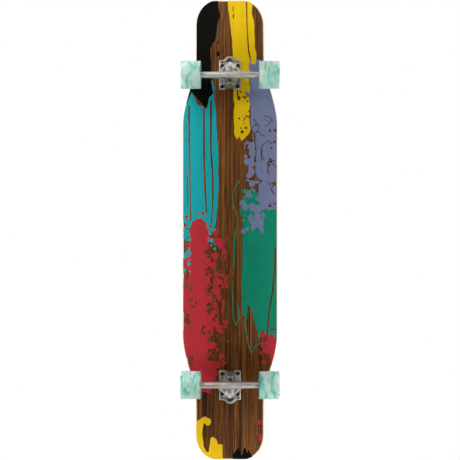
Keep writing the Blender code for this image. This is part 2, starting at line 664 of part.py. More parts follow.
def make_bearing(name, look, spin, side):
    """A shielded ball bearing, as one ring that turns with the wheel."""
    low = BEARING_SPREAD / 2 if side > 0 else -BEARING_OUT
    place(name, tube(AXLE_RADIUS + GAP, BEARING_RADIUS, low, low + BEARING_WIDTH, 16, "Y"), look, spin)


def make_truck(end, x, turn, looks):
    truck = empty(f"{end}_truck", (x, 0, UNDERSIDE_Z), (0, 0, turn))
    fixed = empty(f"{end}_kingpin_frame", RING_CENTRE, (0, -STEER_TILT, 0), truck)
    steer = empty(f"{end}_steering_axis", RING_CENTRE, (0, -STEER_TILT, 0), truck)
    make_baseplate(f"{end}_baseplate", looks["cast"], truck)
    make_pivot_cup(f"{end}_pivot_cup", looks["cup"], fixed)
    make_kingpin(f"{end}_kingpin", looks["steel"], fixed)
    make_bushing_stack(end, looks["bushing"], looks["steel"], fixed)
    make_hanger(f"{end}_hanger", looks["cast"], steer)
    axle = empty(f"{end}_axle_line", AXLE_IN_STEER, (0, 0, 0), steer)
    place(f"{end}_axle", rod(AXLE_RADIUS, -AXLE_HALF_LENGTH, AXLE_HALF_LENGTH, 20, "Y", edge=0.6 * MM),
          looks["steel"], axle)
    for local_side in (1, -1):
        hand = "left" if local_side * math.cos(turn) > 0 else "right"
        spin = empty(f"{end}_{hand}_wheel_axis", (0, local_side * WHEEL_CENTRE_Y, 0), (0, 0, 0), axle)
        make_wheel(f"{end}_{hand}_wheel", looks["urethane"], spin)
        make_bearing(f"{end}_{hand}_outer_bearing", looks["bearing"], spin, local_side)
        make_bearing(f"{end}_{hand}_inner_bearing", looks["bearing"], spin, -local_side)
        low, high = sorted((local_side * NUT_START, local_side * (NUT_START + AXLE_NUT_HEIGHT)))
        hex_nut(f"{end}_{hand}_axle_nut", AXLE_NUT_FLATS, AXLE_RADIUS + GAP, low, high, looks["steel"], axle,
                axis="Y")


def build():
    clear_scene()
    looks = {
        "wood": material("wood_veneer", (0.30, 0.13, 0.06), 0.4),
        "grip": material("grip_tape", (0.02, 0.02, 0.022), 0.95),
        "black_steel": material("black_steel", (0.02, 0.02, 0.02), 0.45, 0.6),
        "cast": material("cast_aluminium", (0.72, 0.70, 0.68), 0.35, 1.0),
        "steel": material("zinc_steel", (0.65, 0.67, 0.68), 0.3, 1.0),
        "cup": material("pivot_cup_plastic", (0.03, 0.03, 0.03), 0.6),
        "bushing": material("bushing_urethane", (0.85, 0.85, 0.80), 0.4),
        "urethane": material("mint_urethane", (0.35, 0.75, 0.65), 0.35),
        "bearing": material("bearing_steel", (0.55, 0.56, 0.58), 0.25, 1.0),
    }
    make_deck(looks["wood"])
    make_grips(looks["grip"])
    make_hardware(looks["black_steel"])
    make_truck("front", TRUCK_X, 0.0, looks)
    make_truck("rear", -TRUCK_X, math.pi, looks)


build()
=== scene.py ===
"""Looks of the dance longboard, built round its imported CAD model."""
import json
import math

import bmesh
import bpy
import numpy as np
from mathutils import Matrix, Vector


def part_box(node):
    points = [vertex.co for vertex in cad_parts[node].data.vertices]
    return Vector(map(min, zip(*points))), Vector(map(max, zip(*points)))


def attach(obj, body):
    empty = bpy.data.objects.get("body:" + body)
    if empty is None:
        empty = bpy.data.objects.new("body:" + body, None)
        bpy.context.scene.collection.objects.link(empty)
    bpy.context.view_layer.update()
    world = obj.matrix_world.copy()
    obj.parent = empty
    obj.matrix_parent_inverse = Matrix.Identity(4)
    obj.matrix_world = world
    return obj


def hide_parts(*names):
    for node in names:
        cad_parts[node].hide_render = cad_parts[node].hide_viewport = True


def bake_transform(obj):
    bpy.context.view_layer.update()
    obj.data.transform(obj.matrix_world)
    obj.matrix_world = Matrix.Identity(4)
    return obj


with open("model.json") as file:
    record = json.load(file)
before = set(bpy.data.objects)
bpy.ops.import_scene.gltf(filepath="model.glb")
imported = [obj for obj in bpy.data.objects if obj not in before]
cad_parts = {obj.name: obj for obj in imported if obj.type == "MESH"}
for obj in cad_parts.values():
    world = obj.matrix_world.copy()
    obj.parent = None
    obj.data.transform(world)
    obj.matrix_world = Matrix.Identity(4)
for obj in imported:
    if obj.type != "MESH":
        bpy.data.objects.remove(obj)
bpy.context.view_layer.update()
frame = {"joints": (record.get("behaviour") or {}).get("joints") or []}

MM = 0.001
SHARP = math.radians(32)
CAST_VOXEL = 0.7 * MM

# Where the CAD pieces are
ENDS = {"front": 1, "rear": -1}
HANDS = {"left": 1, "right": -1}
DECK_LOW, DECK_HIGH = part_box("deck")
UNDERSIDE_Z = DECK_LOW.z
DECK_HALF_LENGTH, DECK_HALF_WIDTH = DECK_HIGH.x, DECK_HIGH.y
JOINTS = {joint["name"]: joint for joint in frame["joints"]}

# The deck's shape, as in its CAD
DECK_THICKNESS, PLIES = 12 * MM, 8.0
DECK_EDGE_ROUND = 3 * MM
NECK_HALF_WIDTH = 90 * MM
TIP_HALF_WIDTH = 34.5 * MM
TIP_ROUND_LENGTH = 70 * MM
WAIST_START, WAIST_END = 150 * MM, 335 * MM
CONCAVE_RISE = 4 * MM
CONCAVE_FADE_START, CONCAVE_FADE_END = 250 * MM, 330 * MM
KICK_START, KICK_RISE = 462 * MM, 16.7 * MM
TOP_Z = UNDERSIDE_Z + DECK_THICKNESS
GRIP_Z = TOP_Z + 0.25 * MM
GRIP_TOP_Z = TOP_Z + 1.1 * MM
GRIP_INSET = 2.6 * MM

# Grip sheets in plan: nose sheet, crescent band and side strip
SHEET_END_LEFT, SHEET_END_RIGHT = 290 * MM, 416 * MM
BAND_TOP_LEFT, BAND_TOP_RIGHT = 264 * MM, 373 * MM
BAND_BOTTOM_LEFT, BAND_BOTTOM_RIGHT = 256 * MM, 331 * MM
BAND_DIP = 8 * MM
SWEEP_POWER = 2.35
STRIP_WIDTH, STRIP_ROUND = 32 * MM, 20 * MM
STRIP_LONG_END, STRIP_SHORT_END = 281 * MM, 234 * MM

# Truck sizes, as in their CAD
WHEEL_Y = JOINTS["front_left_spin"]["pos_m"][1]
TRUCK_X = 404.5 * MM
BOLT_SPACING_X, BOLT_SPACING_Y, OLD_SPACING_X = 53.975 * MM, 41.275 * MM, 63.5 * MM
BOLT_HOLE_RADIUS, COUNTERSINK_RADIUS = 2.8 * MM, 5.0 * MM
BEARING_REACH = 12.3 * MM             # from a wheel's middle to what its bearings rest on
BAR_HALF = WHEEL_Y - BEARING_REACH


# Node shorthand --------------------------------------------------------------------------------

class Look:
    """One material's node tree, with short calls for the nodes that it uses."""

    def __init__(self, name, **constants):
        self.material = bpy.data.materials.new(name)
        self.material.use_nodes = True
        self.tree = self.material.node_tree
        self.tree.nodes.clear()
        output = self.tree.nodes.new("ShaderNodeOutputMaterial")
        self.shader = self.tree.nodes.new("ShaderNodeBsdfPrincipled")
        self.tree.links.new(self.shader.outputs[0], output.inputs[0])
        for socket, value in constants.items():
            self.shader.inputs[socket.replace("_", " ")].default_value = value
        self.place = self.node("ShaderNodeTexCoord").outputs["Object"]

    def node(self, kind, values=None, **settings):
        """A node with some inputs linked or set, and some of its own settings."""
        made = self.tree.nodes.new(kind)
        for name, value in settings.items():
            setattr(made, name, value)
        for key, value in (values or {}).items():
            if isinstance(value, bpy.types.NodeSocket):
                self.tree.links.new(value, made.inputs[key])
            else:
                made.inputs[key].default_value = value
        return made

    def math(self, operation, a, b=0.0):
        return self.node("ShaderNodeMath", {0: a, 1: b}, operation=operation).outputs[0]

    def vector(self, operation, a, b):
        return self.node("ShaderNodeVectorMath", {0: a, 1: b}, operation=operation).outputs[0]

    def weighed(self, a, a_weight, b, b_weight):
        """The sum of two values, each times its weight."""
        return self.math("ADD", self.math("MULTIPLY", a, a_weight), self.math("MULTIPLY", b, b_weight))

    def stretched(self, scale):
        """The object's coordinates, scaled along each axis."""
        return self.node("ShaderNodeMapping", {"Vector": self.place, "Scale": scale}).outputs[0]

    def noise(self, vector, scale, detail=2.0, roughness=0.5, distortion=0.0):
        values = {"Vector": vector, "Scale": scale, "Detail": detail, "Roughness": roughness,
                  "Distortion": distortion}
        return self.node("ShaderNodeTexNoise", values).outputs[0]

    def cells(self, vector, scale):
        return self.node("ShaderNodeTexVoronoi", {"Vector": vector, "Scale": scale}).outputs["Distance"]

    def ramp(self, value, *stops):
        """A colour ramp over (position, colour) stops."""
        made = self.node("ShaderNodeValToRGB", {0: value})
        points = made.color_ramp.elements
        while len(points) < len(stops):
            points.new(0.5)
        for point, (position, colour) in zip(points, stops):
            point.position = position
            point.color = (*colour, 1)
        return made.outputs[0]

    def grey(self, value, low, high, at_low=0.0, at_high=1.0):
        """The value mapped from at_low..at_high onto low..high."""
        values = {0: value, 1: at_low, 2: at_high, 3: low, 4: high}
        return self.node("ShaderNodeMapRange", values).outputs[0]

    def mix(self, factor, a, b, blend="MIX"):
        made = self.node("ShaderNodeMix", {0: factor}, data_type="RGBA", blend_type=blend)
        for key, value in ((6, a), (7, b)):
            if isinstance(value, bpy.types.NodeSocket):
                self.tree.links.new(value, made.inputs[key])
            else:
                made.inputs[key].default_value = (*value, 1)
        return made.outputs[2]

    def bump(self, height, distance, strength):
        values = {"Height": height, "Distance": distance, "Strength": strength}
        return self.node("ShaderNodeBump", values).outputs[0]

    def wire(self, **inputs):
        """Links values to the shader's inputs, and gives the finished material."""
        for name, value in inputs.items():
            self.tree.links.new(value, self.shader.inputs[name.replace("_", " ")])
        return self.material


# Materials -------------------------------------------------------------------------------------

def veneer_colour(look, light, mid, dark):
    """Quarter-sawn streaks along the board, from wide bands to fine dark pores."""
    bands = look.noise(look.stretched((0.4, 36, 1)), 5, 3, 0.6)
    streaks = look.noise(look.stretched((0.8, 170, 1)), 3, 4, 0.75, 0.1)
    pores = look.noise(look.stretched((9, 700, 1)), 2, 2, 0.5)
    blend = look.weighed(bands, 0.64, streaks, 0.36)
    colour = look.ramp(blend, (0.41, dark), (0.455, mid), (0.49, light), (0.515, dark), (0.55, mid),
                       (0.60, light))
    leaf = look.noise(look.stretched((0.25, 7, 1)), 5, 2, 0.5)
    shade = look.math("MULTIPLY", look.grey(pores, 0.5, 1.1, 0.32, 0.52),
                      look.grey(leaf, 0.78, 1.24, 0.35, 0.65))
    tint = look.node("ShaderNodeCombineColor", {0: shade, 1: shade, 2: shade}).outputs[0]
    return look.mix(1.0, colour, tint, "MULTIPLY"), pores


def wood_material(name, light, mid, dark, roughness):
    """Lacquered veneer, rubbed in patches."""
    look = Look(name, Roughness=roughness, Specular_IOR_Level=0.08)
    colour, pores = veneer_colour(look, light, mid, dark)
    scuffs = look.noise(look.stretched((3, 30, 1)), 6, 6, 0.7)
    rough = look.grey(scuffs, roughness - 0.08, roughness + 0.14, 0.3, 0.7)
    return look.wire(Base_Color=colour, Roughness=rough, Normal=look.bump(pores, 0.0002, 0.35))


def ply_material():
    """The deck's bare edge: pale maple plies with darker glue lines and end grain."""
    look = Look("ply_edge", Roughness=0.55)
    depth = look.node("ShaderNodeAttribute", attribute_name="ply_depth").outputs["Fac"]
    plies = look.math("FRACT", look.math("MULTIPLY", depth, PLIES))
    glue = look.ramp(plies, (0.0, (0.50, 0.34, 0.19)), (0.06, (0.78, 0.62, 0.42)), (0.5, (0.84, 0.70, 0.50)),
                     (0.94, (0.76, 0.60, 0.40)), (1.0, (0.36, 0.21, 0.10)))
    pairs = look.math("FRACT", look.math("MULTIPLY", depth, PLIES / 2))
    cross = look.math("GREATER_THAN", pairs, 0.5)
    grain = look.noise(look.stretched((120, 120, 900)), 3, 4, 0.7)
    tone = look.mix(look.math("MULTIPLY", cross, 0.25), glue, (0.55, 0.38, 0.21))
    colour = look.mix(look.grey(grain, 0.0, 0.4, 0.35, 0.7), tone, (0.45, 0.30, 0.17))
    return look.wire(Base_Color=colour, Normal=look.bump(grain, 0.0002, 0.4))


def grip_material():
    """Silicon carbide grit in black resin: coarse crystals, some of which glint."""
    look = Look("grip_tape", Roughness=0.85, Specular_IOR_Level=0.15)
    grit = look.cells(look.place, 1500)
    coarse = look.noise(look.place, 700, 3, 0.7)
    wear = look.noise(look.stretched((4, 6, 4)), 2.5, 5, 0.6)
    glint = look.math("GREATER_THAN", look.noise(look.place, 1900, 1, 0.5), 0.69)
    height = look.weighed(grit, 0.6, coarse, 0.6)
    base = look.ramp(coarse, (0.3, (0.005, 0.005, 0.005)), (0.6, (0.014, 0.014, 0.0145)),
                     (0.75, (0.035, 0.035, 0.035)))
    dusty = look.mix(look.grey(wear, 0.0, 0.35, 0.45, 0.75), base, (0.024, 0.024, 0.023))
    # Painted glint: the glinting crystals are also given a lighter base colour, beside their lower roughness.
    colour = look.mix(look.math("MULTIPLY", glint, 0.5), dusty, (0.14, 0.14, 0.145))
    return look.wire(Base_Color=colour, Roughness=look.grey(glint, 0.88, 0.35),
                     Normal=look.bump(height, 0.0005, 0.8))


def paint_material(name, colour, deep):
    """Screen-printed ink over veneer: even, with the grain just telling through it."""
    look = Look(f"paint_{name}", Roughness=0.35, Specular_IOR_Level=0.03 if name == "black" else 0.06)
    mottle = look.noise(look.stretched((3, 9, 1)), 5, 5, 0.6)
    grain = look.noise(look.stretched((1.2, 150, 1)), 3, 5, 0.65, 0.15)
    tone = look.mix(look.grey(mottle, 0.0, 0.45, 0.35, 0.72), colour, deep)
    shown = look.mix(look.grey(grain, 0.0, 0.16, 0.5, 0.75), tone, (0.02, 0.012, 0.006))
    scratch = look.noise(look.stretched((14, 260, 1)), 3, 3, 0.6)
    rough = look.math("ADD", look.grey(mottle, 0.24, 0.4), look.grey(scratch, 0.0, 0.2, 0.6, 0.75))
    return look.wire(Base_Color=shown, Roughness=rough, Normal=look.bump(grain, 0.0001, 0.25))


def cast_material(name, dull, bright):
    """Tumbled cast aluminium: fine orange-peel, hollows darkened with painted shade, and rubbed high spots.
    """
    look = Look(name, Metallic=0.88, Roughness=0.4)
    peel = look.noise(look.place, 420, 4, 0.6)
    cloud = look.noise(look.place, 45, 5, 0.6)
    speck = look.cells(look.place, 900)
    curve = look.node("ShaderNodeNewGeometry").outputs["Pointiness"]
    edge = look.grey(curve, 0.0, 1.0, 0.503, 0.55)
    hollow_shade_mask = look.grey(curve, 1.0, 0.0, 0.42, 0.495)
    base = look.mix(look.grey(cloud, 0.0, 1.0, 0.3, 0.7), dull, bright)
    # Painted shade: the base colour darkens towards near-black in hollows and creases, where shade falls.
    hollow_shaded = look.mix(look.math("MULTIPLY", hollow_shade_mask, 0.85), base, (0.10, 0.097, 0.092))
    worn = look.mix(look.math("MULTIPLY", edge, 0.85), hollow_shaded, (0.93, 0.92, 0.89))
    rough = look.math("SUBTRACT", look.grey(cloud, 0.30, 0.46, 0.3, 0.7), look.math("MULTIPLY", edge, 0.12))
    height = look.math("ADD", peel, look.math("MULTIPLY", speck, 0.3))
    return look.wire(Base_Color=worn, Roughness=rough, Normal=look.bump(height, 0.00025, 0.45))


def steel_material(name, bright, dull, tint):
    """Zinc or bright steel with a faint passivated tint and fine scratches."""
    look = Look(name, Metallic=1.0, Roughness=0.22)
    cloud = look.noise(look.place, 160, 4, 0.6)
    scratch = look.noise(look.stretched((60, 900, 200)), 3, 3, 0.6)
    tone = look.mix(look.grey(cloud, 0.0, 1.0, 0.3, 0.7), bright, dull)
    tinted = look.mix(look.grey(look.noise(look.place, 60, 2), 0.0, 0.4, 0.45, 0.7), tone, tint)
    return look.wire(Base_Color=tinted, Roughness=look.grey(scratch, 0.14, 0.36, 0.3, 0.7),
                     Normal=look.bump(scratch, 0.00008, 0.25))


def plain_material(name, colour, worn, roughness, **constants):
    """Moulded plastic, rubber or blackened steel, with mottled wear and a fine surface."""
    look = Look(name, Roughness=roughness, **constants)
    cloud = look.noise(look.place, 88, 4, 0.65)
    fine = look.noise(look.place, 1100, 3, 0.6)
    tone = look.mix(look.grey(cloud, 0.0, 1.0, 0.35, 0.75), colour, worn)
    rough = look.grey(cloud, roughness - 0.06, roughness + 0.12, 0.3, 0.7)
    return look.wire(Base_Color=tone, Roughness=rough, Normal=look.bump(fine, 0.0001, 0.4))


def wheel_material():
    """Poured urethane in which mint and milk-white batches swirl together round the wheel."""
    look = Look("swirl_urethane", Roughness=0.38, Specular_IOR_Level=0.35, Subsurface_Weight=0.12,
                Subsurface_Scale=0.004)
    shift = look.node("ShaderNodeObjectInfo").outputs["Random"]
    along = look.math("MULTIPLY", shift, 3.0)
    offset = look.node("ShaderNodeCombineXYZ", {0: along, 1: shift, 2: 0.0}).outputs[0]
    place = look.vector("ADD", look.stretched((0.75, 0.75, 1.9)), offset)
    slow = look.node("ShaderNodeTexNoise", {"Vector": place, "Scale": 18.0, "Detail": 1.0, "Distortion": 0.8})
    bent = look.vector("ADD", place, look.vector("MULTIPLY", slow.outputs[1], (0.07, 0.07, 0.07)))
    swirl = look.noise(bent, 22, 3, 0.5, 1.1)
    veins = look.noise(bent, 60, 3, 0.5, 0.8)
    blend = look.weighed(swirl, 0.8, veins, 0.2)
    colour = look.ramp(blend, (0.33, (0.06, 0.44, 0.34)), (0.42, (0.20, 0.60, 0.48)),
                       (0.48, (0.42, 0.70, 0.61)), (0.53, (0.60, 0.76, 0.70)), (0.66, (0.68, 0.78, 0.74)))
    grime = look.noise(look.place, 120, 4, 0.7)
    shown = look.mix(look.grey(grime, 0.0, 0.10, 0.5, 0.8), colour, (0.25, 0.27, 0.25))
    return look.wire(Base_Color=shown, Roughness=look.grey(grime, 0.32, 0.5, 0.3, 0.7),
                     Normal=look.bump(look.noise(look.place, 900, 3, 0.6), 0.0001, 0.3))


# Mesh helpers ----------------------------------------------------------------------------------

def finish(name, mesh, looks, body, slot, stands_for=(), spot=None, bends=None):
    """Makes the object of a mesh, parents it to the body that it rides on, and hides the CAD parts that it
    stands for. Where bends is given, the object is left unparented, with its placing baked into its mesh."""
    mesh.name = name
    while len(mesh.materials) < len(looks):
        mesh.materials.append(None)
    for index, look in enumerate(looks):
        mesh.materials[index] = look
    mesh.shade_smooth()
    mesh.set_sharp_from_angle(angle=SHARP)
    made = bpy.data.objects.new(name, mesh)
    bpy.context.collection.objects.link(made)
    if spot:
        made.matrix_world = spot
    if bends:
        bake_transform(made)
    else:
        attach(made, body)
    if stands_for:
        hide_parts(*stands_for)


def mesh_of(bm, name="piece"):
    """Turns a bmesh into a mesh whose faces point outward."""
    bmesh.ops.recalc_face_normals(bm, faces=bm.faces)
    mesh = bpy.data.meshes.new(name)
    bm.to_mesh(mesh)
    bm.free()
    return mesh


def lathe(profile, segments, frame_of=Matrix.Identity(4)):
    """Turns a closed (radius, height) profile about local Z."""
    bm = bmesh.new()
    rings = []
    turns = [2 * math.pi * index / segments for index in range(segments)]
    for radius, height in profile:
        if radius == 0:
            rings.append([bm.verts.new((0, 0, height))] * segments)
            continue
        places = [(radius * math.cos(turn), radius * math.sin(turn), height) for turn in turns]
        rings.append([bm.verts.new(place) for place in places])
    for low, high in zip(rings, rings[1:] + rings[:1]):
        for index in range(segments):
            following = (index + 1) % segments
            corners = dict.fromkeys((low[index], low[following], high[following], high[index]))
            if len(corners) > 2:
                bm.faces.new(corners)
    bm.transform(frame_of)
    return bm


def rounded(corners, radius, steps=3):
    """A profile with each corner after the first and before the last turned into a small arc."""
    points = [corners[0]]
    for before, here, after in zip(corners, corners[1:], corners[2:]):
        here_v, back, ahead = Vector(here), Vector(before) - Vector(here), Vector(after) - Vector(here)
        reach = min(radius, 0.45 * back.length, 0.45 * ahead.length)
        start, end = here_v + back.normalized() * reach, here_v + ahead.normalized() * reach
        for step in range(steps + 1):
            share = step / steps
            point = start * (1 - share) ** 2 + here_v * 2 * share * (1 - share) + end * share ** 2
            points.append(tuple(point))
    return points + [corners[-1]]


def rod(radius, low, high, segments=48, axis="Z", centre=(0, 0, 0)):
    """A cylinder along one axis, from low to high of its centre."""
    turn = {"X": Matrix.Rotation(math.pi / 2, 4, "Y"), "Y": Matrix.Rotation(-math.pi / 2, 4, "X")}
    spot = Matrix.Translation(centre) @ turn.get(axis, Matrix.Identity(4))
    return lathe([(0, low), (radius, low), (radius, high), (0, high)], segments, spot)


def thicken(bm, faces, travel):
    """Extrudes the faces by the travel."""
    grown = bmesh.ops.extrude_face_region(bm, geom=faces)
    verts = [item for item in grown["geom"] if isinstance(item, bmesh.types.BMVert)]
    bmesh.ops.translate(bm, verts=verts, vec=travel)


def prism(outline, low, high, axis="Z"):
    """Extrudes a flat outline. With axis Y the outline is given as (x, z)."""
    bm = bmesh.new()
    if axis == "Y":
        corners = [bm.verts.new((a, low, b)) for a, b in outline]
        travel = (0, high - low, 0)
    else:
        corners = [bm.verts.new((a, b, low)) for a, b in outline]
        travel = (0, 0, high - low)
    thicken(bm, [bm.faces.new(corners)], travel)
    return bm


def hexagon(flats):
    """The corners of a hexagon by its size across flats."""
    reach = flats / math.sqrt(3)
    turns = [math.radians(60 * side) for side in range(6)]
    return [(reach * math.cos(turn), reach * math.sin(turn)) for turn in turns]


def loose(mesh):
    """An object that is only a tool, until it is removed or renamed."""
    made = bpy.data.objects.new("tool", mesh)
    bpy.context.collection.objects.link(made)
    return made


def evaluated(target):
    """The mesh of an object with its modifiers applied."""
    bpy.context.view_layer.update()
    graph = bpy.context.evaluated_depsgraph_get()
    return bpy.data.meshes.new_from_object(target.evaluated_get(graph))


def combine(mesh, operation, others):
    """The mesh joined with, or cut by, the other bmeshes."""
    target = loose(mesh)
    tools = [loose(mesh_of(other)) for other in others]
    for tool in tools:
        step = target.modifiers.new(operation.lower(), "BOOLEAN")
        step.operation = operation
        step.object = tool
    result = evaluated(target)
    for item in [target] + tools:
        bpy.data.objects.remove(item, do_unlink=True)
    return result


def cast(mesh, voxel, rounds):
    """Remeshes a crisp solid and relaxes it, so that its edges and corners are filleted."""
    target = loose(mesh)
    remesh = target.modifiers.new("remesh", "REMESH")
    remesh.mode = "VOXEL"
    remesh.voxel_size = voxel
    relax = target.modifiers.new("relax", "SMOOTH")
    relax.factor = 0.5
    relax.iterations = rounds
    result = evaluated(target)
    bpy.data.objects.remove(target, do_unlink=True)
    return result


def merged(*parts):
    """One mesh that holds several overlapping closed bmeshes, for a voxel remesh to fuse."""
    whole = bmesh.new()
    for part in parts:
        bmesh.ops.recalc_face_normals(part, faces=part.faces)
        piece = bpy.data.meshes.new("part")
        part.to_mesh(piece)
        part.free()
        whole.from_mesh(piece)
    mesh = bpy.data.meshes.new("whole")
    whole.to_mesh(mesh)
    whole.free()
    return mesh


# Deck and what lies on it ----------------------------------------------------------------------

def smoothstep(value):
    """Eases from 0 to 1, and holds outside."""
    value = np.clip(value, 0.0, 1.0)
    return value * value * (3 - 2 * value)


def half_width(x):
    """Half the deck's width at x, which may be an array."""
    from_end = np.maximum(DECK_HALF_LENGTH - np.abs(x), 0.0)
    left = np.clip(1 - from_end / TIP_ROUND_LENGTH, 0.0, 1.0)
    tip = TIP_HALF_WIDTH + (NECK_HALF_WIDTH - TIP_HALF_WIDTH) * np.sqrt(1 - left * left)
    widening = smoothstep((from_end - WAIST_START) / (WAIST_END - WAIST_START))
    return tip + (DECK_HALF_WIDTH - NECK_HALF_WIDTH) * widening


def deck_rise(x, y):
    """How far the kick and the concave lift the deck at a point."""
    kick = np.maximum(0.0, (np.abs(x) - KICK_START) / (DECK_HALF_LENGTH - KICK_START))
    fade = 1 - smoothstep((np.abs(x) - CONCAVE_FADE_START) / (CONCAVE_FADE_END - CONCAVE_FADE_START))
    return KICK_RISE * kick * kick + CONCAVE_RISE * fade * (y / DECK_HALF_WIDTH) ** 2


def outline_points():
    """The deck's outline, closely spaced, with its round corners spaced evenly along their arcs."""
    tip = DECK_HALF_LENGTH - TIP_ROUND_LENGTH
    corner = [tip + TIP_ROUND_LENGTH * math.sin(math.radians(3 * step)) for step in range(31)]
    side = list(np.linspace(0, tip, 70))[:-1]
    half = side + corner
    xs = [-x for x in reversed(half[1:])] + half
    return [(x, -float(half_width(x))) for x in xs] + [(x, float(half_width(x))) for x in reversed(xs)]


def bend(bm, low, high):
    """Bends a flat plate to the deck's surface, and keeps each point's depth in the plies."""
    depth = bm.verts.layers.float.new("ply_depth")
    for vert in bm.verts:
        vert[depth] = (vert.co.z - low) / (high - low)
        vert.co.z += float(deck_rise(vert.co.x, vert.co.y))


def gridded(bm, step):
    """Cuts a flat plate along a grid, so that it can bend."""
    for axis, limit in (((1, 0, 0), DECK_HALF_LENGTH), ((0, 1, 0), DECK_HALF_WIDTH)):
        for index in range(-int(limit / step), int(limit / step) + 1):
            cut = Vector(axis) * index * step
            everything = bm.verts[:] + bm.edges[:] + bm.faces[:]
            bmesh.ops.bisect_plane(bm, geom=everything, plane_co=cut, plane_no=axis, dist=MM / 100)
    bmesh.ops.triangulate(bm, faces=bm.faces[:])


def bolt_places(rows=(-0.5, 0.5)):
    """The bolts of one truck, in its frame; rows are in bolt spacings."""
    return [(row * BOLT_SPACING_X, side * BOLT_SPACING_Y / 2) for row in rows for side in (-1, 1)]


def world_bolts():
    """The deck's eight bolts."""
    return [(end * TRUCK_X + x, y) for end in (1, -1) for x, y in bolt_places()]


FLAT_NORMAL, VENEER = 0.995, 0.4 * MM
DRILL_REACH = 10 * MM


def make_deck(top, edge, under):
    """The deck: its two faces, its bare edge between them, and its eight bolt holes."""
    bm = prism(outline_points(), UNDERSIDE_Z, TOP_Z)
    rim = [item for item in bm.edges if abs(item.verts[0].co.z - item.verts[1].co.z) < MM / 100]
    bmesh.ops.bevel(bm, geom=rim, offset=DECK_EDGE_ROUND, segments=4, profile=0.5, affect="EDGES")
    gridded(bm, 15 * MM)
    for face in bm.faces:
        face.normal_update()
        centre = face.calc_center_median().z
        face.material_index = 0 if face.normal.z > FLAT_NORMAL and centre > TOP_Z - VENEER else 1
        if face.normal.z < -FLAT_NORMAL and centre < UNDERSIDE_Z + VENEER:
            face.material_index = 2
    bend(bm, UNDERSIDE_Z, TOP_Z)
    middle = 0.5 * (UNDERSIDE_Z + TOP_Z)
    drills = [rod(BOLT_HOLE_RADIUS, -DRILL_REACH, DRILL_REACH, 24, centre=(x, y, middle))
              for x, y in world_bolts()]
    solid = mesh_of(bm)
    for look in (top, edge, under):
        solid.materials.append(look)
    mesh = combine(solid, "DIFFERENCE", drills)
    finish("deck_laminate", mesh, (top, edge, under), "board", "deck_wood", ("deck",))


def film(xs, ys, field, low, high):
    """A thin plate wherever the field is below zero, with its outline at the zero line, bent to the deck."""
    gx, gy = np.meshgrid(xs, ys, indexing="ij")
    values = field(gx, gy)
    values = np.where(np.abs(values) < 1e-6, 1e-6, values)
    inside = values < 0
    bm = bmesh.new()
    found = {}

    def vertex(key, point):
        if key not in found:
            found[key] = bm.verts.new((*point, low))
        return found[key]

    corners = ((0, 0), (1, 0), (1, 1), (0, 1))
    touched = inside[:-1, :-1] | inside[1:, :-1] | inside[1:, 1:] | inside[:-1, 1:]
    for i, j in zip(*np.nonzero(touched)):
        loop = []
        for (ai, aj), (bi, bj) in zip(corners, corners[1:] + corners[:1]):
            a, b = (i + ai, j + aj), (i + bi, j + bj)
            if inside[a]:
                loop.append(vertex(a, (gx[a], gy[a])))
            if inside[a] != inside[b]:
                share = values[a] / (values[a] - values[b])
                share = min(0.97, max(0.03, share))
                point = (gx[a] + (gx[b] - gx[a]) * share, gy[a] + (gy[b] - gy[a]) * share)
                loop.append(vertex(tuple(sorted((a, b))), point))
        if len(loop) > 2:
            bm.faces.new(loop)
    pinched = [vert for vert in bm.verts if sum(edge.is_boundary for edge in vert.link_edges) > 2]
    bmesh.ops.delete(bm, geom=pinched, context="VERTS")
    thicken(bm, bm.faces[:], (0, 0, high - low))
    for vert in bm.verts:
        vert.co.z += float(deck_rise(vert.co.x, vert.co.y))
    return mesh_of(bm)


def sweep(left_x, right_x, dip=0.0):
    """The curve x(y) that leaves the left edge square to it and sweeps towards the nose."""
    def at(y):
        across = np.clip((DECK_HALF_WIDTH - y) / (2 * DECK_HALF_WIDTH), 0.0, 1.0)
        dipped = dip * np.sin(np.pi * np.minimum(1, 1.5 * across))
        return left_x + (right_x - left_x) * across ** SWEEP_POWER - dipped
    return at


def edge_field(inset):
    """Negative inside the deck's outline, by at least the inset."""
    def at(x, y):
        side = np.abs(y) - half_width(x) + inset
        end = np.abs(x) - DECK_HALF_LENGTH + inset
        return np.maximum(side, end)
    return at


def bolt_room(x, y):
    """Positive in the eight countersinks."""
    return np.max([COUNTERSINK_RADIUS - np.hypot(x - bx, y - by) for bx, by in world_bolts()], axis=0)


def sheet_field(x, y):
    """Negative where the nose sheet lies."""
    curve = sweep(SHEET_END_LEFT, SHEET_END_RIGHT)
    return np.maximum.reduce([edge_field(GRIP_INSET)(x, y), 0.8 * (curve(y) - x), bolt_room(x, y)])


def band_field(x, y):
    """Negative where the curved band beside it lies."""
    upper, lower = sweep(BAND_TOP_LEFT, BAND_TOP_RIGHT), sweep(BAND_BOTTOM_LEFT, BAND_BOTTOM_RIGHT, BAND_DIP)
    return np.maximum.reduce([edge_field(GRIP_INSET)(x, y), 0.8 * (lower(y) - x), 0.8 * (x - upper(y))])


def strip_field(x, y):
    """A strip along the right edge with its two inner corners rounded."""
    inner = -(DECK_HALF_WIDTH - GRIP_INSET - STRIP_WIDTH)
    middle, reach = 0.5 * (STRIP_LONG_END - STRIP_SHORT_END), 0.5 * (STRIP_LONG_END + STRIP_SHORT_END)
    over_x = np.abs(x - middle) - (reach - STRIP_ROUND)
    over_y = y - (inner - STRIP_ROUND)
    corner = np.hypot(np.maximum(over_x, 0), np.maximum(over_y, 0))
    inside = np.minimum(np.maximum(over_x, over_y), 0)
    return np.maximum(edge_field(GRIP_INSET)(x, y), corner + inside - STRIP_ROUND)


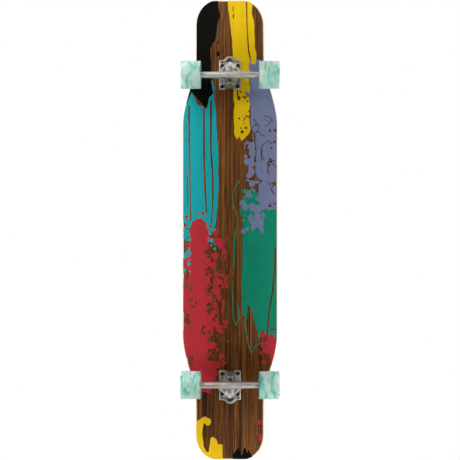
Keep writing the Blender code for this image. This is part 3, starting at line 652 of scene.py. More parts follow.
def make_grips(look):
    """The six pieces of grip; those of the tail and the left edge mirror the others."""
    pitch = 2.5 * MM
    ys = np.arange(-DECK_HALF_WIDTH, DECK_HALF_WIDTH + pitch, pitch)
    spans = {"sheet": (sheet_field, 280 * MM, DECK_HALF_LENGTH), "band": (band_field, 235 * MM, 400 * MM),
             "strip": (strip_field, -240 * MM, 290 * MM)}
    names = {"nose_grip_sheet": ("sheet", 1), "tail_grip_sheet": ("sheet", -1),
             "nose_grip_band": ("band", 1), "tail_grip_band": ("band", -1),
             "right_grip_strip": ("strip", 1), "left_grip_strip": ("strip", -1)}
    for name, (kind, way) in names.items():
        field, start, end = spans[kind]
        xs = np.arange(start, end + pitch, pitch) * way
        mesh = film(np.sort(xs), ys, lambda x, y: field(way * x, way * y), GRIP_Z, GRIP_TOP_Z)
        finish(f"{name}_grit", mesh, (look,), "board", "grip_tape", (name,))


# Painted underside -----------------------------------------------------------------------------

PRINT_STEP = 0.03 * MM                # each coat lies this much below the one before
PRINT_SINK = 0.02 * MM                # how far every coat reaches into the deck
PRINT_INSET = 1.6 * MM
PRINT_PITCH = 1.3 * MM


def smooth_noise(x, y, pitch_x, pitch_y, seed):
    """Value noise between -1 and 1 on a seeded lattice."""
    lattice = np.random.default_rng(seed).uniform(-1, 1, (256, 256))
    u, v = x / pitch_x + 64.0, y / pitch_y + 64.0
    i, j = np.floor(u).astype(int), np.floor(v).astype(int)
    a, b = smoothstep(u - i), smoothstep(v - j)

    def at(di, dj):
        return lattice[(i + di) % 256, (j + dj) % 256]
    return (at(0, 0) * (1 - a) + at(1, 0) * a) * (1 - b) + (at(0, 1) * (1 - a) + at(1, 1) * a) * b


def blob(cx, cy, radius, stretch=1.0):
    """A drop in millimetres, longer along the board where stretched."""
    return lambda x, y: np.hypot((x - cx * MM) / stretch, y - cy * MM) - radius * MM


def from_segment(x, y, start, end):
    """The distance from each point to a straight segment."""
    (ax, ay), (bx, by) = start, end
    along = ((x - ax) * (bx - ax) + (y - ay) * (by - ay)) / ((bx - ax) ** 2 + (by - ay) ** 2)
    along = np.clip(along, 0, 1)
    return np.hypot(x - ax - along * (bx - ax), y - ay - along * (by - ay))


def patch(*corners):
    """The signed distance to a polygon whose corners are (x, y) in millimetres."""
    points = np.array(corners) * MM

    def at(x, y):
        nearest = np.full(x.shape, 10.0)
        inside = np.zeros(x.shape, bool)
        for (ax, ay), (bx, by) in zip(points, np.roll(points, -1, axis=0)):
            nearest = np.minimum(nearest, from_segment(x, y, (ax, ay), (bx, by)))
            if ay != by:
                crossing = ((ay > y) != (by > y)) & (x < ax + (y - ay) * (bx - ax) / (by - ay))
                inside ^= crossing
        return np.where(inside, -nearest, nearest)
    return at


def stroke(width, *places):
    """A run of paint through some (x, y) places in millimetres."""
    points = np.array(places) * MM

    def at(x, y):
        runs = [from_segment(x, y, start, end) for start, end in zip(points, points[1:])]
        return np.min(runs, axis=0) - 0.5 * width * MM
    return at


def splatter(rng, count, x_range, y_range, smallest, largest):
    """Drops of mixed sizes, mostly small, over a rectangle in millimetres."""
    drops = []
    for _ in range(count):
        size = smallest + (largest - smallest) * rng.random() ** 2.5
        drops.append(blob(rng.uniform(*x_range), rng.uniform(*y_range), size, rng.uniform(1.0, 1.25)))
    return drops


def foam(rng, count, cx, cy, spread, smallest=1.3, largest=3.6):
    """A cluster of small holes that nearly touch one another."""
    holes = []
    for _ in range(count):
        turn, reach = rng.uniform(0, 2 * math.pi), spread * math.sqrt(rng.random())
        size = smallest + (largest - smallest) * rng.random() ** 2
        holes.append(blob(cx + 1.5 * reach * math.cos(turn), cy + reach * math.sin(turn), size))
    return holes


def twigs(rng, cx, cy, size):
    """Thin forked cracks in a coat of paint."""
    lines = []
    for _ in range(3):
        x, y, turn = cx, cy, rng.uniform(0, 2 * math.pi)
        path = [(x, y)]
        for _ in range(4):
            turn += rng.uniform(-0.9, 0.9)
            x, y = x + size * math.cos(turn), y + 0.7 * size * math.sin(turn)
            path.append((x, y))
        lines.append(stroke(2.2, *path))
    return lines


def print_layer(adds, cuts, wobble, seed):
    """The union of some shapes less some others, with a ragged wet edge, inside the outline."""
    border = edge_field(PRINT_INSET)

    def at(x, y):
        ragged = smooth_noise(x, y, 22 * MM, 8 * MM, seed)
        ragged += 0.45 * smooth_noise(x, y, 7 * MM, 4 * MM, seed + 9)
        shape = np.min([add(x, y) for add in adds], axis=0) + wobble * ragged
        for cut in cuts:
            shape = np.maximum(shape, -(cut(x, y) + 0.3 * wobble * ragged))
        return np.maximum(shape, border(x, y))
    return at


def print_shapes():
    """The coats of the underside's paint-run print, from the first printed to the last: each one's
    colour, shapes, gaps, and the wobble of its edge in millimetres."""
    rng = np.random.default_rng(7)
    purple = [patch((452, 52), (440, 140), (30, 140), (14, 112), (-6, 101), (4, 92), (40, 84), (70, 70),
                    (120, 76), (160, 66), (205, 70), (235, 60), (300, 54), (380, 52))]
    purple += splatter(rng, 40, (60, 240), (38, 72), 1.6, 9.5)
    purple += splatter(rng, 8, (420, 460), (44, 60), 1.5, 4)
    purple_gaps = foam(rng, 14, 262, 72, 15) + foam(rng, 9, 178, 100, 11) + foam(rng, 8, 118, 116, 9)
    purple_gaps += foam(rng, 8, 66, 112, 8) + foam(rng, 9, 225, 112, 9)
    for x, y in ((262, 74), (232, 66), (180, 102), (100, 112), (290, 112), (130, 84), (216, 82)):
        purple_gaps += twigs(rng, x, y, 9)
    green = [patch((104, 58), (96, 74), (72, 78), (52, 100), (58, 140), (-290, 140), (-302, 118),
                   (-276, 108), (-285, 98), (-262, 86), (-288, 76), (-250, 66), (-205, 55), (-198, 46),
                   (-236, 44), (-222, 34), (-120, 31), (-10, 33), (30, 34), (52, 27), (78, 30), (98, 44))]
    green += splatter(rng, 14, (60, 120), (30, 66), 2, 9)
    green_gaps = [stroke(4.6, (-50, 119), (-110, 118), (-160, 112), (-215, 103), (-290, 97)),
                  stroke(7, (-205, 51), (-240, 54), (-300, 57)), blob(-172, 47, 2.2), blob(-150, 60, 1.6)]
    green_line = [stroke(2.2, (130, 26), (112, 12), (86, 6), (58, 10), (30, 22), (-20, 12), (-80, 11),
                         (-150, 7)),
                  stroke(2.2, (-150, 7), (-232, 8), (-250, 16), (-236, 24), (-190, 20)),
                  stroke(2.2, (-236, 38), (-300, 48), (-326, 56), (-304, 68), (-296, 84))]
    teal = [patch((364, -101), (330, -84), (318, -62), (344, -57), (398, -54), (390, -44), (330, -39),
                  (230, -32), (120, -30), (60, -34), (0, -40), (-8, -56), (20, -70), (10, -104), (28, -140),
                  (330, -140), (338, -112))]
    teal += splatter(rng, 10, (-10, 30), (-124, -44), 2, 8)
    teal_gaps = [stroke(4.2, (326, -108), (200, -107), (26, -104)),
                 stroke(5.5, (318, -69), (180, -68), (110, -66)), stroke(4.4, (110, -66), (46, -62)),
                 stroke(5, (340, -50), (220, -51), (150, -46), (80, -45)), stroke(3, (80, -45), (20, -49)),
                 stroke(1.8, (280, -116), (262, -116)), stroke(1.8, (244, -116), (232, -116)),
                 stroke(1.8, (160, -113), (60, -112))]
    yellow = [patch((640, -7), (580, -4), (542, 2), (480, 5), (430, 8), (330, 11), (250, 12), (236, 18),
                    (246, 24), (235, 31), (244, 40), (262, 52), (330, 53), (400, 50), (440, 56), (436, 66),
                    (458, 70), (480, 65), (540, 64), (580, 58), (640, 54))]
    yellow_gaps = [stroke(3.4, (640, 43), (540, 45), (470, 49), (445, 55)), stroke(2, (592, 8), (580, 8)),
                   stroke(2.4, (570, 9), (560, 9)), stroke(3, (374, 20), (352, 20))]
    yellow_gaps += splatter(rng, 26, (240, 400), (22, 54), 1.4, 5.2) + foam(rng, 10, 300, 50, 9)
    hook = [stroke(17, (-522, -84), (-506, -78), (-500, -66), (-505, -58)), blob(-506, -59, 9),
            patch((-512, -70), (-540, -73), (-570, -70), (-590, -63), (-586, -56), (-566, -52), (-551, -53),
                  (-546, -45), (-552, -37), (-566, -31), (-569, -20), (-640, -18), (-640, -140),
                  (-524, -140), (-512, -86))]
    red = [patch((24, -100), (32, -78), (20, -62), (4, -60), (-20, -58), (-60, -54), (-90, -48),
                 (-130, -52), (-160, -46), (-215, -52), (-260, -44), (-300, -42), (-340, -50), (-372, -36),
                 (-384, -36), (-432, -52), (-424, -78), (-380, -96), (-350, -140), (-100, -140),
                 (-60, -112), (0, -104)),
           patch((-286, 108), (-292, 94), (-312, 96), (-330, 106), (-362, 108), (-380, 140), (-280, 140))]
    red += splatter(rng, 150, (-380, 10), (-58, -18), 2.2, 8.5)
    red += splatter(rng, 46, (-380, 0), (-26, -6), 1.4, 4.5)
    red += splatter(rng, 14, (0, 50), (-116, -52), 1.4, 5)
    red += splatter(rng, 30, (-350, -280), (84, 116), 2, 8)
    red += splatter(rng, 22, (-590, -400), (66, 88), 1.4, 7)
    red += splatter(rng, 16, (-330, -270), (70, 100), 1.3, 4.5)
    red_gaps = []
    for x, y, spread in ((-150, -114, 14), (-190, -98, 11), (-252, -114, 13), (-346, -104, 10),
                         (-160, -54, 11), (-205, -56, 10), (-268, -68, 11), (-282, -52, 9), (-330, -54, 10),
                         (-110, -56, 8), (-60, -56, 8), (-120, -116, 10), (-228, -116, 10)):
        red_gaps += foam(rng, 26, x, y, spread, 1.2, 3.8)
    black = [patch((640, -140), (640, -30), (596, -33), (566, -25), (542, -34), (504, -39), (478, -51),
                   (396, -50), (362, -44), (346, -56), (318, -62), (340, -80), (364, -101), (348, -108),
                   (334, -113), (340, -140), (420, -140)),
             blob(464, -31, 4.2, 1.7), blob(494, -30, 2.2), blob(420, -28, 3, 1.5),
             patch((-640, 2), (-640, 64), (-600, 60), (-582, 50), (-596, 46), (-574, 40), (-600, 30),
                   (-578, 22), (-592, 10))]
    spray = splatter(rng, 60, (-4, 92), (34, 92), 1.4, 8.5)
    spray += splatter(rng, 12, (300, 440), (42, 60), 1.4, 5)
    spray += [patch((60, 74), (20, 84), (-6, 90), (-12, 84), (6, 76), (20, 66), (44, 62))]
    mist = splatter(rng, 50, (-110, 20), (-126, -104), 1.5, 7)
    mist += splatter(rng, 14, (-50, 20), (-60, -34), 1.3, 5)
    mist_gaps = splatter(rng, 30, (-110, 20), (-126, -100), 1.2, 3)
    return [("purple", purple, purple_gaps, 1.5), ("green", green, green_gaps, 1.5),
            ("teal", teal, teal_gaps, 1.5), ("yellow", yellow + hook, yellow_gaps, 2.1),
            ("red", red, red_gaps, 1.5), ("black", black, (), 1.5), ("purple", spray, (), 1.5),
            ("teal", mist, mist_gaps, 1.5), ("green", green_line, (), 0.6)]


PRINT_COLOURS = {"purple": ((0.150, 0.172, 0.285), (0.105, 0.122, 0.215)),
                 "green": ((0.005, 0.205, 0.125), (0.004, 0.150, 0.090)),
                 "teal": ((0.008, 0.310, 0.345), (0.006, 0.235, 0.265)),
                 "yellow": ((0.640, 0.420, 0.004), (0.530, 0.335, 0.004)),
                 "red": ((0.400, 0.026, 0.036), (0.300, 0.018, 0.026)),
                 "black": ((0.0025, 0.0025, 0.0025), (0.005, 0.0045, 0.0045))}


def make_print():
    """Prints the coats on the deck's underside."""
    xs = np.arange(-DECK_HALF_LENGTH, DECK_HALF_LENGTH + PRINT_PITCH, PRINT_PITCH)
    ys = np.arange(-DECK_HALF_WIDTH, DECK_HALF_WIDTH + PRINT_PITCH, PRINT_PITCH)
    inks = {name: paint_material(name, *colours) for name, colours in PRINT_COLOURS.items()}
    for order, (name, adds, cuts, wobble) in enumerate(print_shapes(), 1):
        field = print_layer(adds, cuts, wobble * MM, seed=order)
        mesh = film(xs, ys, field, UNDERSIDE_Z - PRINT_STEP * order, UNDERSIDE_Z + PRINT_SINK)
        finish(f"print_{order}_{name}", mesh, (inks[name],), "board", "deck_wood")


# Trucks ----------------------------------------------------------------------------------------

def truck_frame(end):
    """The middle of a baseplate on the deck's underside, with X outward."""
    way = ENDS[end]
    turn = Matrix.Rotation(0 if way > 0 else math.pi, 4, "Z")
    return Matrix.Translation((way * TRUCK_X, 0, UNDERSIDE_Z)) @ turn


def steer_frame(end):
    """The middle of the hanger's ring, with X along the steering axis, outward, and Z up the kingpin."""
    joint = JOINTS[f"{end}_steer"]
    outward = Vector(joint["axis"]) * ENDS[end]
    across = Vector((0, ENDS[end], 0))
    up = outward.cross(across)
    turned = Matrix((outward, across, up)).transposed().to_4x4()
    return Matrix.Translation(joint["pos_m"]) @ turned


STEER_LOCAL = truck_frame("front").inverted() @ steer_frame("front")
AXLE_IN_TRUCK = truck_frame("front").inverted() @ Vector(JOINTS["front_left_spin"]["pos_m"])
AXLE_LOCAL = STEER_LOCAL.inverted() @ AXLE_IN_TRUCK

# The hanger, in the steering frame
RING_HALF, RING_HOLE = 4 * MM, 8 * MM
FLANGE_APEX, FLANGE_APEX_ROUND = 31 * MM, 10 * MM
FLANGE_HALF_WIDTH, FLANGE_ROOT, FLANGE_WALL = 29 * MM, -15.5 * MM, 4.4 * MM
SHOULDER_PLAN = ((-27, 64), (-22, 62), (-20.3, 54), (-19.2, 46), (-17.2, 38), (-14.6, 31), (-12, 27))
SHOULDER_LOW, SHOULDER_HIGH = -22 * MM, -14 * MM
BAR_END_RADIUS, BAR_RADIUS, BAR_TAPER_START = 7.6 * MM, 8.9 * MM, 35 * MM
BAR_MACHINED = 0.9 * MM               # what is faced off each end of the bar
WEB_HALF_WIDTH = 19 * MM
PIN_NOSE = ((0, -38.4), (3, -37.9), (4.6, -36.6), (5.2, -34.5), (5.2, -20), (0, -20))
AXLE_BORE = 4.3 * MM

# The baseplate: its plan in the truck's frame, and its pivot barrel along the steering axis
PLATE_PLAN = ((-31, 10.5), (-35.5, 12), (-35.5, 28.5), (41.5, 28.5), (43.5, 14.5), (50.5, 9.5), (52.3, 4))
PLATE_LOW, PLATE_TOP, PLATE_CORNER = -5.3 * MM, -0.45 * MM, 2.2 * MM
NOSE_LIP_CENTRE, NOSE_LIP_RADIUS, NOSE_POCKET_RADIUS = 36 * MM, 15 * MM, 9 * MM
NOSE_LIP_LOW, NOSE_POCKET_TOP = -10 * MM, -3 * MM
PIVOT_MOUTH, BARREL_END, BARREL_RADIUS = -24 * MM, -43.5 * MM, 10.25 * MM
SEAT_HALF_WIDTH, TOWER_HALF_WIDTH, RIB_HALF_WIDTH = 15 * MM, 8.5 * MM, 4 * MM
SEAT_LEVEL = 20 * MM                  # up the kingpin, where its top washer bears

# What the kingpin clamps, by height up the kingpin
FIT_GAP = 0.3 * MM
KINGPIN_RADIUS, KINGPIN_BORE = 4.76 * MM, 5.06 * MM
KINGPIN_LOW, KINGPIN_THREAD_HIGH = -31 * MM, -17 * MM
HEAD_FLATS, HEAD_LOW, HEAD_HIGH = 13 * MM, 24.6 * MM, 28.6 * MM
WASHER_THICKNESS, BOARD_WASHER_RADIUS, ROAD_WASHER_RADIUS = 1.5 * MM, 13.4 * MM, 10 * MM
BOARD_WASHER_LOW = SEAT_LEVEL - FIT_GAP - WASHER_THICKNESS
CONE_HIGH = -RING_HALF - FIT_GAP
CONE_LOW = CONE_HIGH - 13 * MM
ROAD_WASHER_LOW = CONE_LOW - FIT_GAP - WASHER_THICKNESS
KINGPIN_NUT_HIGH = ROAD_WASHER_LOW - FIT_GAP
KINGPIN_NUT_LOW = KINGPIN_NUT_HIGH - 8 * MM
BUSHING_LIP, BUSHING_FLARE = 0.7 * MM, 1.2 * MM
PIVOT_CUP = ((0, -40.8), (8, -40.8), (8, -24.4), (5.5, -24.4), (5.5, -38.8), (0, -38.8))


def steer_point(x, z):
    """A point of the steering frame's middle plane as (x, z) in the truck's frame."""
    point = STEER_LOCAL @ Vector((x, 0, z))
    return point.x, point.z


def moved(bm, matrix):
    """The same bmesh, moved."""
    bm.transform(matrix)
    return bm


def in_place(mesh, matrix):
    """A moved copy of a mesh."""
    copy = mesh.copy()
    copy.transform(matrix)
    return copy


def in_metres(points):
    return [(a * MM, b * MM) for a, b in points]


def symmetric(half_plan):
    """A whole outline from its left half in millimetres."""
    half = in_metres(half_plan)
    return half + [(x, -y) for x, y in reversed(half)]


def ring(inner, outer, low, high, softness, segments, spot=Matrix.Identity(4), steps=3):
    """A turned ring of rectangular section with softened corners."""
    section = [(inner, low), (outer, low), (outer, high), (inner, high), (inner, low)]
    return lathe(rounded(section, softness, steps)[:-1], segments, spot)


def flange_path():
    """The V of the hanger's flange in plan: two straight sides that meet in a round apex."""
    centre_x = FLANGE_APEX - FLANGE_APEX_ROUND
    run = centre_x - FLANGE_ROOT
    reach = math.hypot(run, FLANGE_HALF_WIDTH)
    slope = math.atan2(FLANGE_HALF_WIDTH, run) - math.asin(FLANGE_APEX_ROUND / reach)
    first = math.pi / 2 - slope
    points = [(FLANGE_ROOT, FLANGE_HALF_WIDTH)]
    for step in range(21):
        turn = first * (1 - step / 10)
        points.append((centre_x + FLANGE_APEX_ROUND * math.cos(turn), FLANGE_APEX_ROUND * math.sin(turn)))
    return points + [(FLANGE_ROOT, -FLANGE_HALF_WIDTH)]


def flange_wall():
    """The raised lip along the V, tall at the axle and low at the apex."""
    outer = flange_path()
    bm = bmesh.new()
    rings = []
    for index, (x, y) in enumerate(outer):
        before, after = Vector(outer[max(0, index - 1)]), Vector(outer[min(len(outer) - 1, index + 1)])
        along = (after - before).normalized()
        inner_x, inner_y = x + along.y * FLANGE_WALL, y - along.x * FLANGE_WALL
        share = (x - FLANGE_ROOT) / (FLANGE_APEX - FLANGE_ROOT)
        low = -RING_HALF - 3 * MM - 15 * MM * (1 - share)
        corners = ((x, y, RING_HALF), (x, y, low), (inner_x, inner_y, low), (inner_x, inner_y, RING_HALF))
        rings.append([bm.verts.new(corner) for corner in corners])
    for first, second in zip(rings, rings[1:]):
        for side in range(4):
            following = (side + 1) % 4
            bm.faces.new((first[side], first[following], second[following], second[side]))
    bm.faces.new(rings[0])
    bm.faces.new(rings[-1][::-1])
    return bm


def hanger_mesh():
    """The cast hanger, in the steering frame."""
    axle_x, axle_z = AXLE_LOCAL.x, AXLE_LOCAL.z
    along_axle = Matrix.Translation((axle_x, 0, axle_z)) @ Matrix.Rotation(-math.pi / 2, 4, "X")
    bar = lathe([(0, -BAR_HALF), (BAR_END_RADIUS, -BAR_HALF), (BAR_RADIUS, -BAR_TAPER_START), (9 * MM, 0),
                 (BAR_RADIUS, BAR_TAPER_START), (BAR_END_RADIUS, BAR_HALF), (0, BAR_HALF)], 48, along_axle)
    web = prism([(-14.2 * MM, RING_HALF), (-14.2 * MM, axle_z + 2 * MM), (axle_x + 3 * MM, axle_z - 3 * MM),
                 (PIVOT_MOUTH + 0.8 * MM, axle_z + 6 * MM), (PIVOT_MOUTH + 0.8 * MM, RING_HALF)],
                -WEB_HALF_WIDTH, WEB_HALF_WIDTH, "Y")
    shoulders = prism(symmetric(SHOULDER_PLAN), SHOULDER_LOW, SHOULDER_HIGH)
    pin = rod(6.1 * MM, PIVOT_MOUTH + 0.6 * MM, -16 * MM, 40, "X")
    plate = prism(flange_path(), -RING_HALF + 0.1 * MM, RING_HALF - 0.1 * MM)
    solid = merged(plate, flange_wall(), web, bar, shoulders, pin)
    fused = cast(solid, CAST_VOXEL, 7)
    nose = lathe(in_metres(PIN_NOSE), 40, Matrix.Rotation(math.pi / 2, 4, "Y"))
    fused = combine(fused, "UNION", [nose])
    groove = rod(0.9 * MM, -70 * MM, 70 * MM, 16, "Y", (axle_x + 0.8 * MM, 0, axle_z - 9.3 * MM))
    face, past_end = BAR_HALF - BAR_MACHINED, BAR_HALF + 9 * MM
    facings = [lathe([(0, low), (12 * MM, low), (12 * MM, high), (0, high)], 48, along_axle)
               for low, high in ((face, past_end), (-past_end, -face))]
    bushing_room = rod(13.7 * MM, -60 * MM, -RING_HALF - 0.05 * MM, 56)
    nut_room = rod(15.3 * MM, -60 * MM, -13 * MM, 56)
    seat = rod(BOARD_WASHER_RADIUS, RING_HALF - 0.15 * MM, 20 * MM, 56)
    ring_hole = rod(RING_HOLE, -20 * MM, 20 * MM, 48)
    bore = rod(AXLE_BORE, -200 * MM, 200 * MM, 40, "Y", (axle_x, 0, axle_z))
    return combine(fused, "DIFFERENCE", [groove, *facings, bushing_room, nut_room, seat, ring_hole, bore])


def nose_lip(top):
    """The crescent lip round the pocket in the baseplate's nose."""
    turns = [math.radians(5 * step) for step in range(-15, 16)]
    outline = [(NOSE_LIP_RADIUS, turn) for turn in turns]
    outline += [(NOSE_POCKET_RADIUS, turn) for turn in reversed(turns)]
    corners = [(NOSE_LIP_CENTRE + radius * math.cos(turn), radius * math.sin(turn))
               for radius, turn in outline]
    return prism(corners, NOSE_LIP_LOW, top)


def baseplate_mesh():
    """The cast baseplate with its kingpin seat and pivot tower, in the truck's frame."""
    plate = prism(symmetric(PLATE_PLAN), PLATE_LOW, -FIT_GAP)
    upright = [edge for edge in plate.edges if abs(edge.verts[0].co.z - edge.verts[1].co.z) > MM]
    bmesh.ops.bevel(plate, geom=upright, offset=PLATE_CORNER, segments=6, profile=0.5, affect="EDGES")
    inside = -1.3 * MM
    seat = prism([(-26 * MM, inside), (12 * MM, inside), steer_point(15 * MM, 17 * MM),
                  steer_point(-15 * MM, 17 * MM), (-24 * MM, -14 * MM)],
                 -SEAT_HALF_WIDTH, SEAT_HALF_WIDTH, "Y")
    mouth, barrel_back = PIVOT_MOUTH - 0.5 * MM, BARREL_END + MM
    tower = prism([(-30 * MM, inside), (-19 * MM, inside), steer_point(-18.5 * MM, 20 * MM),
                   steer_point(mouth, 9.5 * MM), steer_point(mouth, 0), steer_point(barrel_back, 0),
                   steer_point(barrel_back, 9.5 * MM), (-38 * MM, -24 * MM)],
                  -TOWER_HALF_WIDTH, TOWER_HALF_WIDTH, "Y")
    rib = prism([(10 * MM, inside), (28 * MM, inside), (28 * MM, -7.5 * MM), (12 * MM, -7.5 * MM)],
                -RIB_HALF_WIDTH, RIB_HALF_WIDTH, "Y")
    bosses = [rod(6.2 * MM, -6.0 * MM, -1.5 * MM, 32, "Z", (x, y, 0)) for x, y in bolt_places()]
    barrel = moved(rod(BARREL_RADIUS, BARREL_END, PIVOT_MOUTH, 48, "X"), STEER_LOCAL)
    solid = merged(plate, seat, tower, rib, nose_lip(inside), barrel, *bosses)
    fused = cast(solid, CAST_VOXEL, 5)
    for vert in fused.vertices:
        vert.co.z = min(vert.co.z, PLATE_TOP)
    kingpin_room = lathe([(0, -4 * MM), (14.2 * MM, -4 * MM), (14.2 * MM, SEAT_LEVEL),
                          (KINGPIN_BORE, SEAT_LEVEL), (KINGPIN_BORE, HEAD_LOW - FIT_GAP),
                          (7.8 * MM, HEAD_LOW - FIT_GAP), (7.8 * MM, 50 * MM), (0, 50 * MM)], 56)
    pivot_room = rod(8.3 * MM, -41.1 * MM, 0, 40, "X")
    rooms = [moved(room, STEER_LOCAL) for room in (kingpin_room, pivot_room)]
    places = bolt_places() + bolt_places((OLD_SPACING_X / BOLT_SPACING_X - 0.5,))
    drills = [rod(2.75 * MM, -20 * MM, MM, 24, "Z", (x, y, 0)) for x, y in places]
    pocket = rod(NOSE_POCKET_RADIUS - 0.3 * MM, -20 * MM, NOSE_POCKET_TOP, 48, "Z", (NOSE_LIP_CENTRE, 0, 0))
    spots = [rod(5.6 * MM, -20 * MM, PLATE_LOW, 32, "Z", (x, y, 0)) for x, y in bolt_places()]
    return combine(fused, "DIFFERENCE", rooms + drills + [pocket] + spots)


def hex_solid(flats, low, high, bore, segments=48):
    """A hexagon with turned chamfers on both faces and a bore."""
    reach = flats / math.sqrt(3)
    slope = (reach - flats / 2) * 0.55
    crown = lathe([(0, low), (flats / 2 - 0.15 * MM, low), (reach, low + slope), (reach, high - slope),
                   (flats / 2 - 0.15 * MM, high), (0, high)], segments)
    mesh = combine(mesh_of(prism(hexagon(flats), low, high)), "INTERSECT", [crown])
    return combine(mesh, "DIFFERENCE", [rod(bore, low - MM, high + MM, 32)])


def thread_profile(radius, low, high, pitch, depth=0.45 * MM):
    """The side of a threaded rod as ring grooves, from low to high."""
    turns = max(1, int((high - low) / pitch))
    points = []
    for turn in range(turns):
        base = low + turn * pitch
        points += [(radius - depth, base), (radius, base + 0.5 * pitch)]
    return points + [(radius - depth, low + turns * pitch)]


def fit(end, name, mesh, look, slot, node=None, body=None, **more):
    """Finishes a piece of one truck, which rides on the board unless a body is named."""
    stands_for = (f"{end}_{node}",) if node else ()
    finish(f"{end}_{name}", mesh, (look,), f"{end}_{body}" if body else "board", slot, stands_for, **more)


def make_nuts(end, looks):
    """Hex nuts with a nylon collar: one on the kingpin, and one on each end of the axle."""
    frame_of = steer_frame(end)
    low, high = KINGPIN_NUT_LOW, KINGPIN_NUT_HIGH
    nut = hex_solid(14.3 * MM, low + 2.2 * MM, high, KINGPIN_BORE)
    nut = combine(nut, "UNION", [ring(5.3 * MM, 6.9 * MM, low, low + 3 * MM, 0.4 * MM, 48)])
    fit(end, "kingpin_locknut", in_place(nut, frame_of), looks["zinc"], "zinc_steel", "kingpin_nut")
    collar = ring(5.0 * MM, 6.5 * MM, low + 0.1 * MM, low + 2.4 * MM, 0.5 * MM, 40)
    fit(end, "kingpin_nut_collar", mesh_of(moved(collar, frame_of)), looks["nylon"], "zinc_steel")
    for hand, way in HANDS.items():
        box_low, box_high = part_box(f"{end}_{hand}_axle_nut")
        spot = Matrix.Translation(0.5 * (box_low + box_high)) @ Matrix.Rotation(-way * math.pi / 2, 4, "X")
        reach = 0.5 * (box_high.y - box_low.y)
        nut = hex_solid(12.7 * MM, -reach, reach - 1.8 * MM, AXLE_BORE)
        nut = combine(nut, "UNION", [ring(4.9 * MM, 6.1 * MM, reach - 2.4 * MM, reach, 0.35 * MM, 40)])
        fit(end, f"{hand}_axle_locknut", in_place(nut, spot), looks["zinc"], "zinc_steel", f"{hand}_axle_nut",
            "axle_set")
        collar = ring(4.15 * MM, 4.85 * MM, reach - 2.0 * MM, reach - 0.15 * MM, 0.5 * MM, 40)
        fit(end, f"{hand}_axle_nut_collar", mesh_of(moved(collar, spot)), looks["nylon"], "zinc_steel",
            body="axle_set")


def make_bushing(end, name, node, look, near, far, near_lip, side, taper, far_lip, far_rim):
    """A bushing from the hanger's ring (near) to its washer (far)."""
    frame_of = steer_frame(end)
    lip = math.copysign(BUSHING_LIP, far - near)
    levels = [(share, near + (far - near) * share) for share in (0.2, 0.35, 0.5, 0.65, 0.8)]
    profile = [(6.3 * MM, near), (12.3 * MM, near), (near_lip, near + lip)]
    profile += [(side - taper * share ** 1.6, level) for share, level in levels]
    profile += [(far_lip, far - lip), (far_rim, far), (KINGPIN_BORE, far)]
    profile += [(KINGPIN_BORE + BUSHING_FLARE * (1 - share), level) for share, level in reversed(levels)]
    fit(end, name, mesh_of(lathe(profile, 56, frame_of)), look, "bushing_urethane", node, "axle_set",
        bends=(frame_of @ Vector((0, 0, far)), frame_of @ Vector((0, 0, near))))


def make_kingpin_stack(end, looks):
    """The kingpin, the washers and bushings that it clamps round the hanger, and the pivot cup."""
    frame_of = steer_frame(end)
    shank = [(0, KINGPIN_LOW), (4.2 * MM, KINGPIN_LOW)]
    shank += thread_profile(KINGPIN_RADIUS, KINGPIN_LOW + 0.4 * MM, KINGPIN_THREAD_HIGH, 1.4 * MM)
    shank += [(KINGPIN_RADIUS, KINGPIN_THREAD_HIGH + MM), (KINGPIN_RADIUS, HEAD_LOW + 0.1 * MM),
              (0, HEAD_LOW + 0.1 * MM)]
    pin = combine(mesh_of(lathe(shank, 40)), "UNION", [prism(hexagon(HEAD_FLATS), HEAD_LOW, HEAD_HIGH)])
    fit(end, "kingpin_bolt", in_place(pin, frame_of), looks["zinc"], "zinc_steel", "kingpin")
    for side, radius, low in (("board", BOARD_WASHER_RADIUS, BOARD_WASHER_LOW),
                              ("road", ROAD_WASHER_RADIUS, ROAD_WASHER_LOW)):
        washer = ring(KINGPIN_BORE, radius, low, low + WASHER_THICKNESS, 0.5 * MM, 56, frame_of)
        fit(end, f"{side}_cup_washer", mesh_of(washer), looks["zinc"], "zinc_steel", f"{side}_washer")
    make_bushing(end, "barrel_bushing", "board_bushing", looks["bushing"], RING_HALF + FIT_GAP,
                 BOARD_WASHER_LOW - FIT_GAP, 12.9 * MM, 13.0 * MM, 0, 12.9 * MM, 12.3 * MM)
    make_bushing(end, "cone_bushing", "road_bushing", looks["bushing"], CONE_HIGH,
                 CONE_LOW, 12.8 * MM, 12.9 * MM, 3.2 * MM, 9.8 * MM, 9.3 * MM)
    section = rounded(in_metres(PIVOT_CUP), 0.5 * MM)
    cup = lathe(section, 40, frame_of @ Matrix.Rotation(math.pi / 2, 4, "Y"))
    fit(end, "pivot_bush", mesh_of(cup), looks["rubber"], "pivot_cup_plastic", "pivot_cup")


def make_axle(end, looks):
    """The axle: smooth through the hanger and wheels, and threaded at both ends."""
    low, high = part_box(f"{end}_axle")
    centre = 0.5 * (low + high)
    half = high.y - centre.y
    radius, end_radius = 4.0 * MM, 3.2 * MM
    smooth_half = WHEEL_Y + BEARING_REACH - 0.1 * MM
    side = thread_profile(radius, smooth_half, half - 0.9 * MM, 1.0 * MM, 0.35 * MM)
    outer_half = [(radius, smooth_half - 0.3 * MM)] + side + [(end_radius, half), (0, half)]
    profile = [(r, -height) for r, height in reversed(outer_half)] + outer_half
    mesh = mesh_of(lathe(profile, 36, Matrix.Translation(centre) @ Matrix.Rotation(-math.pi / 2, 4, "X")))
    fit(end, "axle_rod", mesh, looks["steel"], "zinc_steel", "axle", "axle_set")


